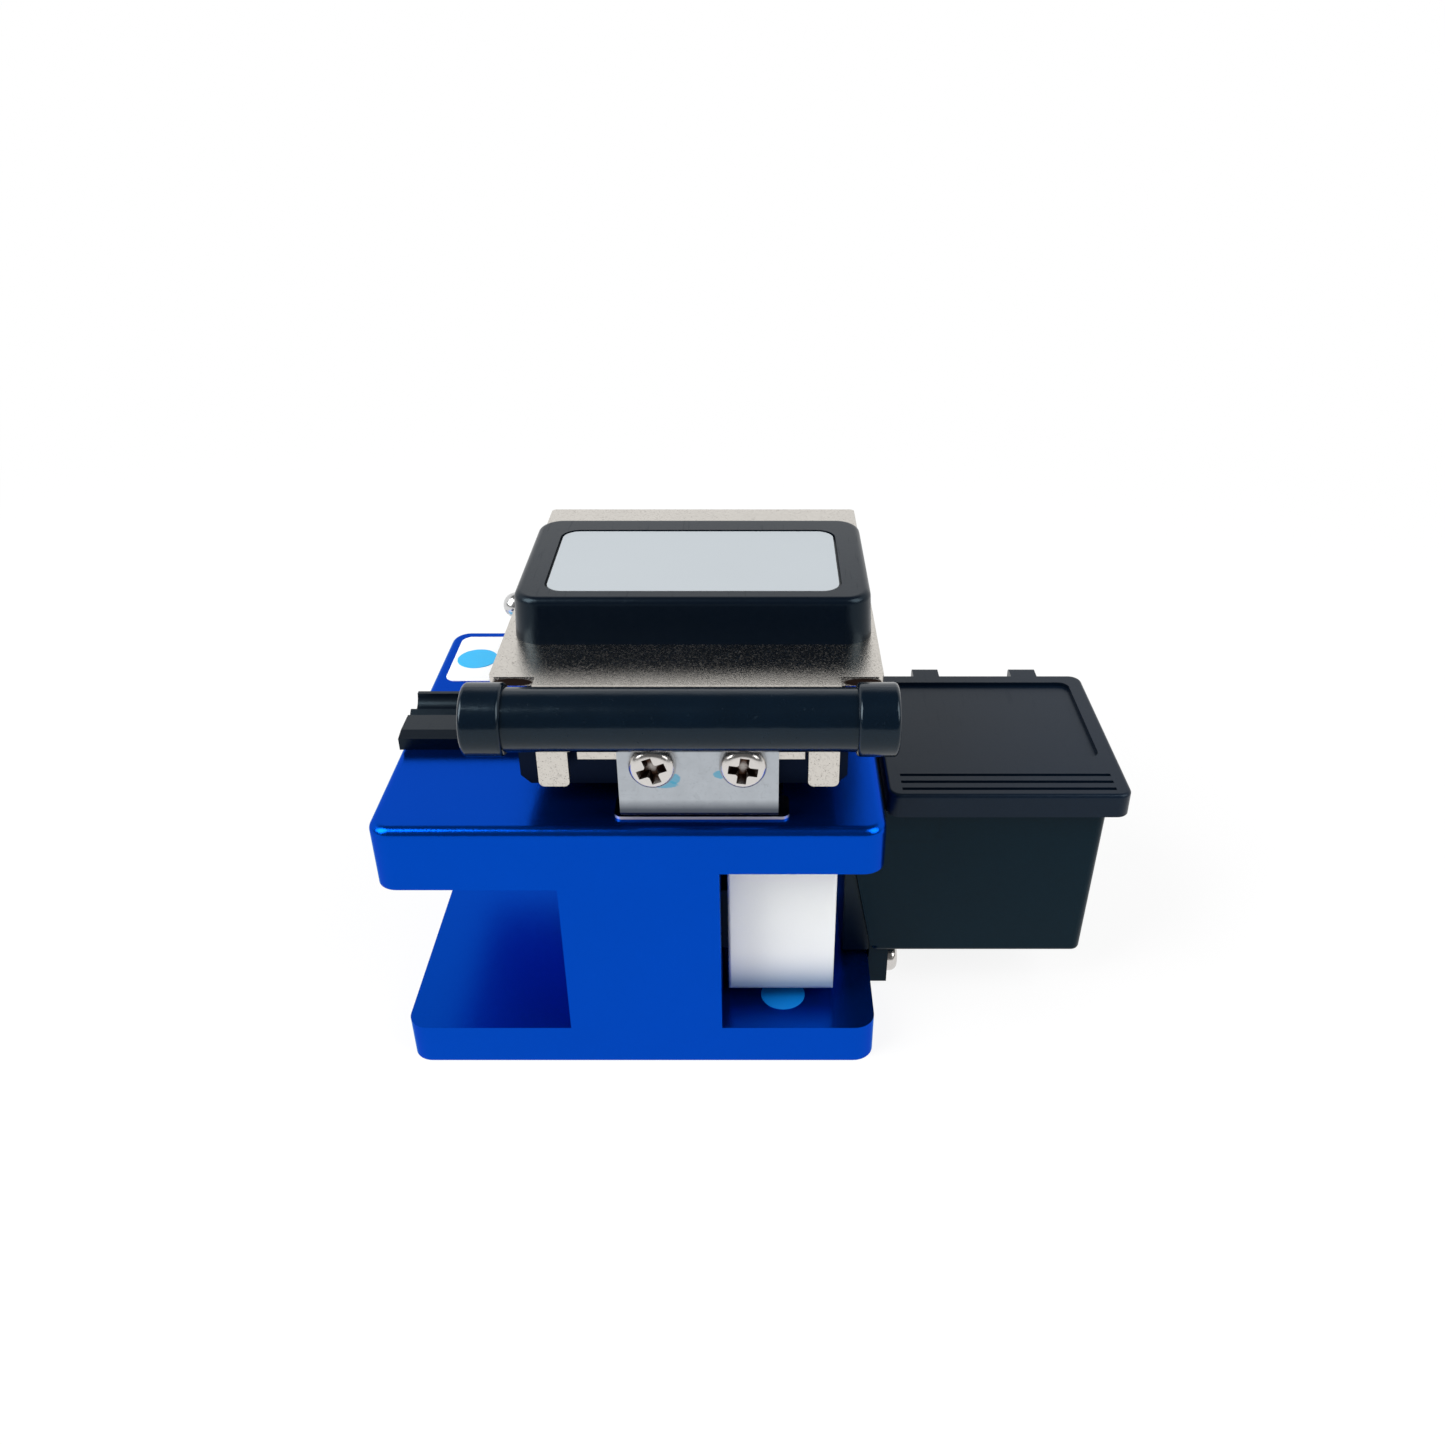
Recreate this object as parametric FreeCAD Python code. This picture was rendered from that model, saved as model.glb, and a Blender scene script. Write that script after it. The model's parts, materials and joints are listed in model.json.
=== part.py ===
# Fibre cleaver: a C-shaped aluminium frame with a blade slider under its platform,
# a spring-loaded press lever over a clamp arm on one rear hinge rod, and a lidded
# off-cut box screwed to its right side.
#
# Millimetres. The origin lies on the frame's underside, close to its middle, at the
# reaches named below from its front and its right side. +Z is up, +X points to the
# off-cut box and -Y to the person who uses the tool.
import FreeCAD, Part
import math
import os

os.makedirs("parts", exist_ok=True)

# ---------------------------------------------------------------- frame
frame_width = 63.15
frame_depth = 53.9
frame_front_reach = 26.6
frame_right_reach = 31.5
base_thickness = 6.0
platform_top = 38.6
platform_left_overhang = 0.6
left_platform_thickness = 9.1
right_platform_thickness = 6.6
right_gap_width = 20.65
column_width = 20.3
frame_corner_radius = 2.8
platform_edge_radius = 1.2

# ---------------------------------------------------------------- clearances
shaft_clearance = 0.05
hole_clearance = 0.05
moving_gap = 0.35
seat_gap = 0.02

# how far a cutting shape runs past the face that it cuts
cut_run = 1.0
least_corner = 0.3

# ---------------------------------------------------------------- screw heads
recess_slot_share = 0.2
recess_corner_share = 0.07
recess_taper = 0.6
recess_reach_share = 0.62
recess_depth_share = 0.6
flat_recess_depth_share = 0.5
head_dome_share = 0.62

# ---------------------------------------------------------------- rear hinge
hinge_setback = 5.7
hinge_height = 7.2
rod_radius = 1.5
rod_ball_radius = 1.9
rod_ball_standoff = 1.1
ear_radius = 3.6
left_ear_thickness = 3.2
right_ear_thickness = 2.0
right_foot_length = 8.4
right_ear_screw_inset = 5.9
ear_foot_height = 2.2
rod_end_length = 0.6
hinge_screw_radius = 1.0
hinge_screw_depth = 4.2
hinge_screw_head_radius = 2.0
hinge_screw_head_height = 1.8

# ---------------------------------------------------------------- fibre line
fibre_setback = 24.7
fibre_height = 1.6
fibre_radius = 0.125

# ---------------------------------------------------------------- press lever
lever_side_inset = 0.9
lever_width = 46.85
lever_sheet = 1.2
lever_height = 17.7
lever_front_setback = 6.45
lever_length = 54.15
flange_setback = 2.5
flange_offset = 0.145
flange_width = 36.15
flange_bend_radius = 0.8
leg_width = 3.7
leg_length = 12.9
leg_slot_left_width = 1.2
leg_slot_right_width = 0.45
leg_slot_rise = 2.4
boss_window_rise = 1.3
leg_corner_radius = 0.7
strip_length = 9.0
tab_radius = 3.8
tab_gusset_length = 16.0
tab_gusset_height = 3.6

# ---------------------------------------------------------------- press pad
pad_width = 44.85
pad_offset = 0.37
pad_depth = 27.0
pad_height = 6.0
pad_front_setback = 14.8
pad_corner_radius = 3.6
pad_edge_radius = 0.9
pad_draft = 0.35
label_width = 36.55
label_depth = 19.3
label_front_margin = 3.0
label_thickness = 0.35
label_corner_radius = 2.2
label_recess_depth = 0.45
label_gap = 0.3
pad_screw_radius = 1.0
pad_screw_spacing = 36.4
pad_screw_depth = 3.6
pad_screw_head_radius = 1.9
pad_screw_head_height = 1.2

# ---------------------------------------------------------------- handle
handle_length = 49.15
handle_offset = -0.25
sleeve_radius = 3.7
cap_radius = 4.25
cap_length = 4.7
handle_rod_radius = 2.9
handle_rise = 16.4
cap_edge_radius = 0.5
cap_end_wall = 1.0
handle_screw_radius = 0.8
handle_screw_inset = 3.4
handle_screw_drop = 2.3
handle_screw_head_radius = 1.45
handle_screw_head_height = 0.9
handle_screw_depth = 4.2

# ---------------------------------------------------------------- clamp arm
arm_left_gap = 1.4
arm_height = 2.9
arm_thickness = 8.8
arm_front_setback = 6.1
arm_edge_chamfer = 1.2
barrel_radius = 3.6
boss_width = 17.6
boss_offset = 1.37
boss_height = 7.0
upper_pad_depth = 2.0
anvil_window_margin = 0.9

# ---------------------------------------------------------------- catch
bracket_width = 19.15
bracket_thickness = 1.0
bracket_top = 12.0
bracket_foot_gap = 0.6
bracket_foot_length = 5.6
bracket_bend_radius = 1.2
catch_screw_spacing = 10.7
catch_screw_height = 9.05
catch_screw_radius = 1.5
catch_screw_depth = 4.5
catch_head_radius = 2.83
catch_head_height = 1.9
catch_screw_left_turn = 20.0
catch_screw_right_turn = -8.0
keeper_width = 21.6
keeper_offset = 0.2
keeper_depth = 4.75
keeper_thickness = 0.4
keeper_setback = 2.4
keeper_corner_radius = 1.0
magnet_radius = 2.3
magnet_height = 3.0
magnet_spacing = 9.0

# ---------------------------------------------------------------- clamp pads
pad_rubber_length = 5.2
pad_rubber_depth = 10.0
blade_to_pad = 2.7
lower_pad_sink = 1.4
seat_wall = 0.6
seat_floor = 0.5

# ---------------------------------------------------------------- anvil
anvil_length = 4.0
anvil_depth = 8.0
anvil_gap = 0.7
anvil_tip_height = 2.4
anvil_wedge_height = 1.0
anvil_edge_width = 1.6
holder_length = 13.0
holder_depth = 10.4
holder_height = 3.4
holder_screw_radius = 1.0
holder_screw_spacing = 9.0
holder_screw_head_radius = 1.8
holder_screw_head_height = 0.5

# ---------------------------------------------------------------- lever springs
spring_radius = 2.1
spring_wire_radius = 0.3
spring_turns = 5
spring_spacing = 26.0
spring_setback = 13.0
spring_pocket_depth = 4.0
spring_clearance = 0.3

# ---------------------------------------------------------------- blade slider
slider_gap = 0.83
slider_width = 14.25
slider_length = 26.0
slider_setback = 5.0
slider_foot_gap = 1.9
slider_top_gap = 0.6
slider_edge_radius = 1.2
slider_side_radius = 0.4
groove_height = 10.0
groove_depth = 4.0
groove_center = 19.0
groove_front_wall = 3.6
rail_height = 5.0
rail_thickness = 2.4
rail_end_gap = 0.4
rail_screw_radius = 1.0
rail_screw_count = 3
rail_screw_spacing = 17.0
rail_screw_head_radius = 1.7
rail_screw_head_height = 1.1
rail_screw_depth = 3.0
stop_pin_radius = 0.5
stop_pin_length = 1.0
stop_pin_inset = 1.7
stop_gap = 0.2
carriage_length = 23.0
carriage_setback = 2.0
carriage_gap = 0.1

# ---------------------------------------------------------------- blade
blade_radius = 8.0
blade_thickness = 3.0
blade_bore_radius = 3.0
blade_bevel = 2.0
blade_offset = 5.15
blade_setback = 10.0
holder_plate_thickness = 2.2
holder_plate_width = 14.0
holder_plate_top = 3.8
pocket_side_gap = 0.9
pocket_floor = 5.6
blade_screw_radius = 1.25
blade_screw_head_radius = 3.6
blade_screw_head_height = 1.2
blade_screw_depth = 4.2
carriage_screw_radius = 1.25
carriage_screw_head_radius = 2.2
carriage_screw_head_height = 1.5
carriage_screw_spacing = 10.0
carriage_screw_depth = 2.0
blade_slot_gap = 0.6
blade_slot_roof = 1.8

# ---------------------------------------------------------------- fibre adapter
adapter_front = 6.25
adapter_front_height = 1.7
adapter_slope_run = 1.85
adapter_height = 2.05
adapter_lip_front = 0.55
adapter_lip_rear = 1.1
adapter_channel_radius = 2.05
adapter_channel_offset = 3.1
adapter_channel_height = 2.5
adapter_ridge_height = 2.2
adapter_rear = 5.8
adapter_screw_inset = 4.0
adapter_screw_spacing = 11.0
adapter_screw_forward = 2.6
adapter_screw_radius = 1.0
adapter_screw_head_radius = 1.55
adapter_screw_head_height = 1.0
adapter_screw_depth = 5.0

# ---------------------------------------------------------------- off-cut box
box_gap = 0.2
box_flange_thickness = 2.75
box_flange_bottom = 1.0
box_flange_depth = 24.0
box_flange_overlap = 2.0
box_width = 30.7
box_depth = 29.0
box_bottom = 7.6
box_rim_gap = 0.3
box_rim_step = 0.25
box_wall = 1.4
box_draft = 0.7
box_corner_radius = 1.2
box_bottom_radius = 0.7
box_setback = 13.6
chute_reach = 3.2
chute_top = 25.0
chute_toe_rise = 1.0
latch_inset = 1.0
latch_width = 7.1
latch_height = 5.1
latch_rise = 0.4
box_screw_radius = 1.25
box_screw_spacing = 17.0
box_screw_height = 3.0
box_screw_head_radius = 2.3
box_screw_head_height = 1.7
box_screw_depth = 6.0

# ---------------------------------------------------------------- off-cut box lid
lid_top = 36.0
lid_front_overlap = 2.2
lid_rear_overlap = 1.4
lid_right_overlap = 2.25
lid_skirt_height = 3.45
lid_ledge_gap = 0.35
lid_wall = 1.1
lid_left_gap = 1.15
lid_corner_radius = 1.8
lid_edge_radius = 0.5
lid_panel_margin = 2.3
lid_panel_front = 9.4
lid_panel_depth = 0.55
lid_panel_corner_radius = 1.4
grip_groove_count = 3
grip_groove_pitch = 1.65
grip_groove_width = 0.6
grip_groove_depth = 0.4
grip_groove_front = 1.3
grip_groove_margin = 1.95
knuckle_width = 3.9
knuckle_spacing = 14.85
knuckle_offset = 0.1
knuckle_radius = 1.4
knuckle_edge_radius = 0.8
lid_pin_radius = 0.6
lid_pin_setback = 1.0
lid_pin_drop = 2.4
lug_width = 2.0
lug_radius = 1.2
lug_length = 5.0

# ---------------------------------------------------------------- worked out
frame_right = frame_right_reach
frame_left = frame_right - frame_width
frame_front = -frame_front_reach
frame_rear = frame_front + frame_depth
platform_left = frame_left - platform_left_overhang
left_gap_top = platform_top - left_platform_thickness
right_gap_top = platform_top - right_platform_thickness
column_right = frame_right - right_gap_width
column_left = column_right - column_width

hinge_y = frame_rear - hinge_setback
hinge_z = platform_top + hinge_height
fibre_y = frame_front + fibre_setback
fibre_z = platform_top + fibre_height

lever_right = frame_right - lever_side_inset
lever_left = lever_right - lever_width
lever_center = (lever_left + lever_right) / 2
lever_top = platform_top + lever_height
lever_under = lever_top - lever_sheet
lever_front = frame_front + lever_front_setback
lever_rear = lever_front + lever_length
flange_front = frame_front + flange_setback
flange_back = flange_front + lever_sheet
flange_center = lever_center + flange_offset
flange_left = flange_center - flange_width / 2
flange_right = flange_center + flange_width / 2

left_ear_right = lever_left - moving_gap
left_ear_left = left_ear_right - left_ear_thickness
right_ear_right = lever_right - lever_sheet - moving_gap
right_ear_left = right_ear_right - right_ear_thickness

pad_center = lever_center + pad_offset
pad_front = frame_front + pad_front_setback

arm_left = lever_left + lever_sheet + arm_left_gap
arm_right = right_ear_left - moving_gap
arm_bottom = platform_top + arm_height
arm_top = arm_bottom + arm_thickness
arm_front = frame_front + arm_front_setback

boss_center = lever_center + boss_offset
bracket_back = flange_front - moving_gap
bracket_front = bracket_back - bracket_thickness
bracket_left = boss_center - bracket_width / 2
bracket_right = boss_center + bracket_width / 2
keeper_top = platform_top + keeper_thickness
keeper_front = frame_front + keeper_setback
bracket_bottom = keeper_top + bracket_foot_gap
boss_bottom = platform_top + catch_screw_height - boss_height / 2
boss_top = platform_top + catch_screw_height + boss_height / 2

handle_center = lever_center + handle_offset
handle_y = flange_front - sleeve_radius
handle_z = platform_top + handle_rise

slider_left = column_right + slider_gap
slider_right = slider_left + slider_width
slider_front = frame_front + slider_setback
slider_rear = slider_front + slider_length
slider_bottom = base_thickness + slider_foot_gap
slider_top = right_gap_top - slider_top_gap
carriage_front = slider_front + carriage_setback
carriage_rear = carriage_front + carriage_length
rear_stop_y = frame_rear - stop_pin_inset
slider_travel = rear_stop_y - stop_pin_radius - stop_gap - carriage_rear
groove_left = column_right - groove_depth
groove_front = frame_front + groove_front_wall
groove_bottom = groove_center - groove_height / 2
groove_top = groove_center + groove_height / 2

blade_x = slider_left + blade_offset
blade_y = slider_front + blade_setback
blade_z = fibre_z - blade_radius
blade_left = blade_x - blade_thickness / 2
blade_right = blade_x + blade_thickness / 2
holder_right = blade_left - seat_gap
holder_left = holder_right - holder_plate_thickness
pocket_bottom = slider_bottom + pocket_floor
blade_slot_top = platform_top - blade_slot_roof

anvil_bottom = fibre_z + anvil_gap
left_pad_right = blade_x - blade_to_pad
right_pad_left = blade_x + blade_to_pad
holder_bottom = lever_under - holder_height

box_left = frame_right + box_gap
box_front = frame_front + box_setback
box_rear = box_front + box_depth
box_right = box_left + box_width
lid_left = frame_right + lid_left_gap
lid_right = box_right + lid_right_overlap
lid_front = box_front - lid_front_overlap
lid_rear = box_rear + lid_rear_overlap
lid_bottom = lid_top - lid_skirt_height
box_ledge = lid_bottom - lid_ledge_gap
knuckle_center = (lid_left + lid_right) / 2 + knuckle_offset
lid_pin_y = lid_rear + lid_pin_setback
lid_pin_z = lid_top - lid_pin_drop
box_top = lid_top - lid_wall - box_rim_gap
rim_left = lid_left + lid_wall + box_rim_gap


# ================================================================ helpers
def vec(x, y, z):
    return FreeCAD.Vector(x, y, z)


def block(x0, x1, y0, y1, z0, z1):
    """Box between two corners."""
    return Part.makeBox(x1 - x0, y1 - y0, z1 - z0, vec(x0, y0, z0))


def along(axis, amount):
    """Vector of the given length along the axis named x, y or z."""
    return vec(*[amount if name == axis else 0 for name in "xyz"])


def rod(axis, radius, start, length, at):
    """Cylinder along an axis; at holds the two other coordinates in x, y, z order."""
    place = list(at)
    place.insert("xyz".index(axis), start)
    return Part.makeCylinder(radius, length, vec(*place), along(axis, 1))


def prism(axis, points, start, end):
    """Polygon drawn across an axis and extruded along it."""
    corners = []
    for point in points:
        place = list(point)
        place.insert("xyz".index(axis), start)
        corners.append(vec(*place))
    face = Part.Face(Part.makePolygon(corners + corners[:1]))
    return face.extrude(along(axis, end - start))


def edges_where(shape, test):
    """Edges whose bounding box passes the test."""
    return [edge for edge in shape.Edges if test(edge.BoundBox)]


def is_along(axis, box, length=None):
    """True when an edge's box runs along one axis only."""
    sizes = {"x": box.XLength, "y": box.YLength, "z": box.ZLength}
    others = [size for name, size in sizes.items() if name != axis]
    if max(others) > 1e-4:
        return False
    return sizes[axis] > 1e-4 if length is None else abs(sizes[axis] - length) < 1e-3


def round_block(axis, radius, x0, x1, y0, y1, z0, z1):
    """Box with the four edges along one axis rounded."""
    shape = block(x0, x1, y0, y1, z0, z1)
    return shape.makeFillet(radius, edges_where(shape, lambda box: is_along(axis, box)))


def facing(shape, place, direction, spin=0):
    """Move a shape modelled at the origin along +Z to a place and a direction, spun by some degrees."""
    turn = FreeCAD.Rotation(vec(0, 0, 1), vec(*direction)).multiply(FreeCAD.Rotation(vec(0, 0, 1), spin))
    copy = shape.copy()
    copy.Placement = FreeCAD.Placement(vec(*place), turn)
    return copy


def join(shapes):
    """One solid from touching or overlapping shapes."""
    whole = shapes[0]
    for shape in shapes[1:]:
        whole = whole.fuse(shape)
    return whole.removeSplitter()


def cut_all(shape, tools):
    for tool in tools:
        shape = shape.cut(tool)
    return shape


def group(shapes):
    return Part.makeCompound(shapes)


def save(name, shape):
    shape.exportStep("parts/" + name + ".step")


# ================================================================ fasteners
def cross_outline(radius, height):
    """Cross of four arms with cut-off inner corners, drawn at one height."""
    half = radius * recess_slot_share
    reach = radius * recess_reach_share
    inner = half + radius * recess_corner_share
    arm = [(reach, -half), (reach, half), (inner, half), (half, inner)]
    corners = []
    for quarter in range(4):
        turn = FreeCAD.Rotation(vec(0, 0, 1), 90 * quarter)
        corners.extend(turn.multVec(vec(x, y, height)) for x, y in arm)
    return Part.makePolygon(corners + corners[:1])


def cross_recess(radius, depth):
    """Tapered recess for a cross driver, cut down from z = 0."""
    above = cross_outline(radius, cut_run)
    mouth = cross_outline(radius, 0)
    foot = cross_outline(radius * recess_taper, -depth)
    return join([Part.makeLoft([above, mouth], True, True), Part.makeLoft([mouth, foot], True, True)])


def pan_screw(head_radius, head_height, shank_radius, length):
    """Pan-head screw: the head sits on z = 0 and the shank points to -Z."""
    head = Part.makeCylinder(head_radius, head_height)
    top_rim = edges_where(head, lambda box: box.ZMin > head_height - 1e-4)
    head = head.makeFillet(head_height * head_dome_share, top_rim)
    recess = cross_recess(head_radius, head_height * recess_depth_share)
    recess.translate(vec(0, 0, head_height))
    shank = Part.makeCylinder(shank_radius, length, vec(0, 0, -length))
    return join([head.cut(recess), shank])


def flat_screw(head_radius, head_height, shank_radius, length):
    """Countersunk screw: the head's flat top is z = 0 and the shank points to -Z."""
    head = Part.makeCone(shank_radius, head_radius, head_height, vec(0, 0, -head_height))
    shank = Part.makeCylinder(shank_radius, length, vec(0, 0, -length))
    recess = cross_recess(head_radius, head_height * flat_recess_depth_share)
    return join([head, shank]).cut(recess)


def screw_hole(shank_radius, length):
    """Clearance hole for a screw placed at the same spot."""
    return Part.makeCylinder(shank_radius + hole_clearance, length, vec(0, 0, -length))


def flat_screw_hole(head_radius, head_height, shank_radius, length):
    wide = head_radius + hole_clearance
    narrow = shank_radius + hole_clearance
    sink = Part.makeCone(narrow, wide, head_height, vec(0, 0, -head_height))
    return join([sink, Part.makeCylinder(narrow, length, vec(0, 0, -length))])


# ================================================================ places of fasteners
def hinge_screw_places():
    left_x = (left_ear_left + left_ear_right) / 2
    right_x = right_ear_right - right_ear_screw_inset
    left = (left_x, hinge_y, left_gap_top, hinge_screw_depth)
    right = (right_x, hinge_y, right_gap_top, ear_foot_height - seat_gap)
    return [left, right]


def adapter_screw_places():
    top = platform_top + adapter_height
    middle = fibre_y - adapter_screw_forward
    first = arm_left + adapter_screw_inset
    return [(x, middle, top) for x in (first, first + adapter_screw_spacing)]


def rail_screw_places():
    face = groove_left + rail_thickness
    middle = (groove_front + frame_rear) / 2
    first = middle - rail_screw_spacing * (rail_screw_count - 1) / 2
    return [(face, first + i * rail_screw_spacing, groove_center) for i in range(rail_screw_count)]


def box_screw_places():
    face = box_left + box_flange_thickness
    return [(face, side * box_screw_spacing / 2, box_screw_height) for side in (-1, 1)]


def catch_screw_places():
    height = platform_top + catch_screw_height
    half = catch_screw_spacing / 2
    return [(boss_center + side * half, bracket_front, height) for side in (-1, 1)]


def carriage_screw_places():
    height = groove_center
    half = carriage_screw_spacing / 2
    return [(holder_right, blade_y + side * half, height) for side in (-1, 1)]


def pad_screw_places():
    middle = pad_front + pad_depth / 2
    half = pad_screw_spacing / 2
    return [(pad_center + side * half, middle, lever_under) for side in (-1, 1)]


def holder_screw_places():
    half = holder_screw_spacing / 2
    return [(blade_x + side * half, fibre_y, holder_bottom) for side in (-1, 1)]


def handle_screw_places():
    outer = flange_width / 2 - handle_screw_inset
    height = handle_z - handle_screw_drop
    return [(flange_center + side * outer, flange_back, height) for side in (-1, 1)]


def magnet_places():
    half = magnet_spacing / 2
    middle = keeper_front + keeper_depth / 2
    return [(boss_center + side * half, middle) for side in (-1, 1)]


def spring_places():
    half = spring_spacing / 2
    return [(lever_center + side * half, frame_front + spring_setback) for side in (-1, 1)]


# ================================================================ frame
def frame_profile():
    """Outline of the base, the column and the platform, seen from the front."""
    return [
        (frame_left, 0),
        (frame_right, 0),
        (frame_right, base_thickness),
        (column_right, base_thickness),
        (column_right, right_gap_top),
        (frame_right, right_gap_top),
        (frame_right, platform_top),
        (platform_left, platform_top),
        (platform_left, left_gap_top),
        (column_left, left_gap_top),
        (column_left, base_thickness),
        (frame_left, base_thickness),
    ]


def is_frame_corner(box):
    sides = (frame_left, platform_left, frame_right)
    return is_along("z", box) and min(abs(box.XMin - side) for side in sides) < 1e-3


def blade_slot():
    """Slot for the blade: narrow at the platform's top, wide below for its holder."""
    end = blade_radius + blade_slot_gap
    low_y = blade_y - end
    high_y = blade_y + slider_travel + end
    left = holder_left - blade_slot_gap
    right = blade_right + blade_screw_head_height + 2 * blade_slot_gap
    wide = block(left, right, low_y, high_y, right_gap_top - cut_run, blade_slot_top)
    chord = math.sqrt(blade_radius ** 2 - (blade_slot_top - blade_z) ** 2)
    inset = blade_radius - chord
    narrow = block(blade_left - blade_slot_gap, blade_right + blade_slot_gap,
                   low_y + inset, high_y - inset, blade_slot_top - cut_run, platform_top + cut_run)
    return join([wide, narrow])


def pad_seat_block(left, grow, low, high):
    """Room of one lower clamp pad, grown on its four sides."""
    y0 = fibre_y - pad_rubber_depth / 2
    y1 = fibre_y + pad_rubber_depth / 2
    return block(left - grow, left + pad_rubber_length + grow, y0 - grow, y1 + grow, low, high)


def pad_lefts():
    return [left_pad_right - pad_rubber_length, right_pad_left]


def make_body_frame():
    shape = prism("y", frame_profile(), frame_front, frame_rear)
    shape = shape.makeFillet(frame_corner_radius, edges_where(shape, is_frame_corner))
    top_rim = edges_where(shape, lambda box: box.ZMin > platform_top - 1e-3)
    shape = shape.makeFillet(platform_edge_radius, top_rim)
    cuts = [blade_slot()]
    groove = block(groove_left, column_right + cut_run, groove_front, frame_rear + cut_run,
                   groove_bottom, groove_top)
    cuts.append(groove)
    for left in pad_lefts():
        low = platform_top - lower_pad_sink
        cuts.append(pad_seat_block(left, seat_wall, low, platform_top + cut_run))
    for place in magnet_places():
        depth = magnet_height + seat_gap
        cuts.append(rod("z", magnet_radius + seat_gap, platform_top - depth, depth + cut_run, place))
    cuts.extend(hinge_screw_holes())
    for place in adapter_screw_places():
        hole = screw_hole(adapter_screw_radius, adapter_screw_depth + seat_gap)
        cuts.append(facing(hole, place, (0, 0, 1)))
    for place in rail_screw_places():
        hole = screw_hole(rail_screw_radius, rail_thickness + rail_screw_depth)
        cuts.append(facing(hole, place, (1, 0, 0)))
    for place in box_screw_places():
        hole = screw_hole(box_screw_radius, box_screw_depth + box_flange_thickness)
        cuts.append(facing(hole, place, (1, 0, 0)))
    return cut_all(shape, cuts)


# ================================================================ rear hinge
def hinge_screw_holes():
    """Counterbored holes up through the shelves and into the ears."""
    holes = []
    wide = hinge_screw_head_radius + hole_clearance
    narrow = hinge_screw_radius + hole_clearance
    for x, y, shelf, depth in hinge_screw_places():
        bore = rod("z", wide, shelf - cut_run, cut_run + hinge_screw_head_height, (x, y))
        reach = platform_top + depth + seat_gap - shelf + cut_run
        shank = rod("z", narrow, shelf - cut_run, reach, (x, y))
        holes.append(join([bore, shank]))
    return holes


def make_hinge_screws():
    screws = []
    for x, y, shelf, depth in hinge_screw_places():
        seat = shelf + hinge_screw_head_height
        screw = pan_screw(hinge_screw_head_radius, hinge_screw_head_height - seat_gap,
                          hinge_screw_radius, platform_top + depth - seat)
        screws.append(facing(screw, (x, y, seat), (0, 0, -1)))
    return group(screws)


def ear(left, right, foot_left):
    """Upright ear, rounded over the rod, with a low foot on the platform."""
    y0 = hinge_y - ear_radius
    y1 = hinge_y + ear_radius
    upright = block(left, right, y0, y1, platform_top, hinge_z)
    crown = rod("x", ear_radius, left, right - left, (hinge_y, hinge_z))
    foot = block(foot_left, right, y0, y1, platform_top, platform_top + ear_foot_height)
    return join([upright, crown, foot])


def finish_ear(shape):
    reach = right_ear_right - left_ear_left + 2 * cut_run
    bore = rod("x", rod_radius, left_ear_left - cut_run, reach, (hinge_y, hinge_z))
    return cut_all(shape, [bore] + hinge_screw_holes())


def make_hinge_ear_left():
    return finish_ear(ear(left_ear_left, left_ear_right, left_ear_left))


def make_hinge_ear_right():
    foot_left = right_ear_right - right_foot_length
    return finish_ear(ear(right_ear_left, right_ear_right, foot_left))


def make_hinge_rod():
    """Rod with a ball head outside the left ear."""
    end = lever_right + rod_end_length
    ball_x = left_ear_left - rod_ball_standoff
    shaft = rod("x", rod_radius - seat_gap, ball_x, end - ball_x, (hinge_y, hinge_z))
    ball = Part.makeSphere(rod_ball_radius, vec(ball_x, hinge_y, hinge_z))
    reach = 2 * rod_ball_radius
    trim = block(left_ear_left - seat_gap, left_ear_left + reach, hinge_y - reach,
                 hinge_y + reach, hinge_z - reach, hinge_z + reach)
    return join([shaft, ball.cut(trim)])


# ================================================================ press lever
def line(start, end):
    return Part.LineSegment(start, end).toShape()


def arc(start, middle, end):
    return Part.Arc(start, middle, end).toShape()


def lever_nose():
    """Front of the plate, turned down in one smooth bend."""
    outer = flange_bend_radius + lever_sheet
    bend_y = flange_front + outer
    bend_z = lever_top - outer
    low = lever_top - leg_length
    outer_mid = outer * math.sqrt(0.5)
    inner_mid = flange_bend_radius * math.sqrt(0.5)

    def at(y, z):
        return vec(flange_left, y, z)

    edges = [
        line(at(flange_front, low), at(flange_front, bend_z)),
        arc(at(flange_front, bend_z), at(bend_y - outer_mid, bend_z + outer_mid), at(bend_y, lever_top)),
        line(at(bend_y, lever_top), at(lever_front, lever_top)),
        line(at(lever_front, lever_top), at(lever_front, lever_under)),
        line(at(lever_front, lever_under), at(bend_y, lever_under)),
        arc(at(bend_y, lever_under), at(bend_y - inner_mid, bend_z + inner_mid), at(flange_back, bend_z)),
        line(at(flange_back, bend_z), at(flange_back, low)),
        line(at(flange_back, low), at(flange_front, low)),
    ]
    return Part.Face(Part.Wire(edges)).extrude(vec(flange_width, 0, 0))


def lever_nose_cuts():
    """Room between the two legs: the strip's lower edge, the slots and the boss window."""
    y0 = flange_front - cut_run
    y1 = flange_back + cut_run
    low = lever_top - leg_length - cut_run
    inner_left = flange_left + leg_width
    inner_right = flange_right - leg_width
    strip_bottom = lever_top - strip_length
    below = block(inner_left, inner_right, y0, y1, low, strip_bottom)
    slot_top = strip_bottom + leg_slot_rise
    slots = [block(inner_left, inner_left + leg_slot_left_width, y0, y1, low, slot_top)]
    slots.append(block(inner_right - leg_slot_right_width, inner_right, y0, y1, low, slot_top))
    half = boss_width / 2 + moving_gap
    window = block(boss_center - half, boss_center + half, y0, y1, low, boss_top + boss_window_rise)
    return [below, window] + slots


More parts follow.
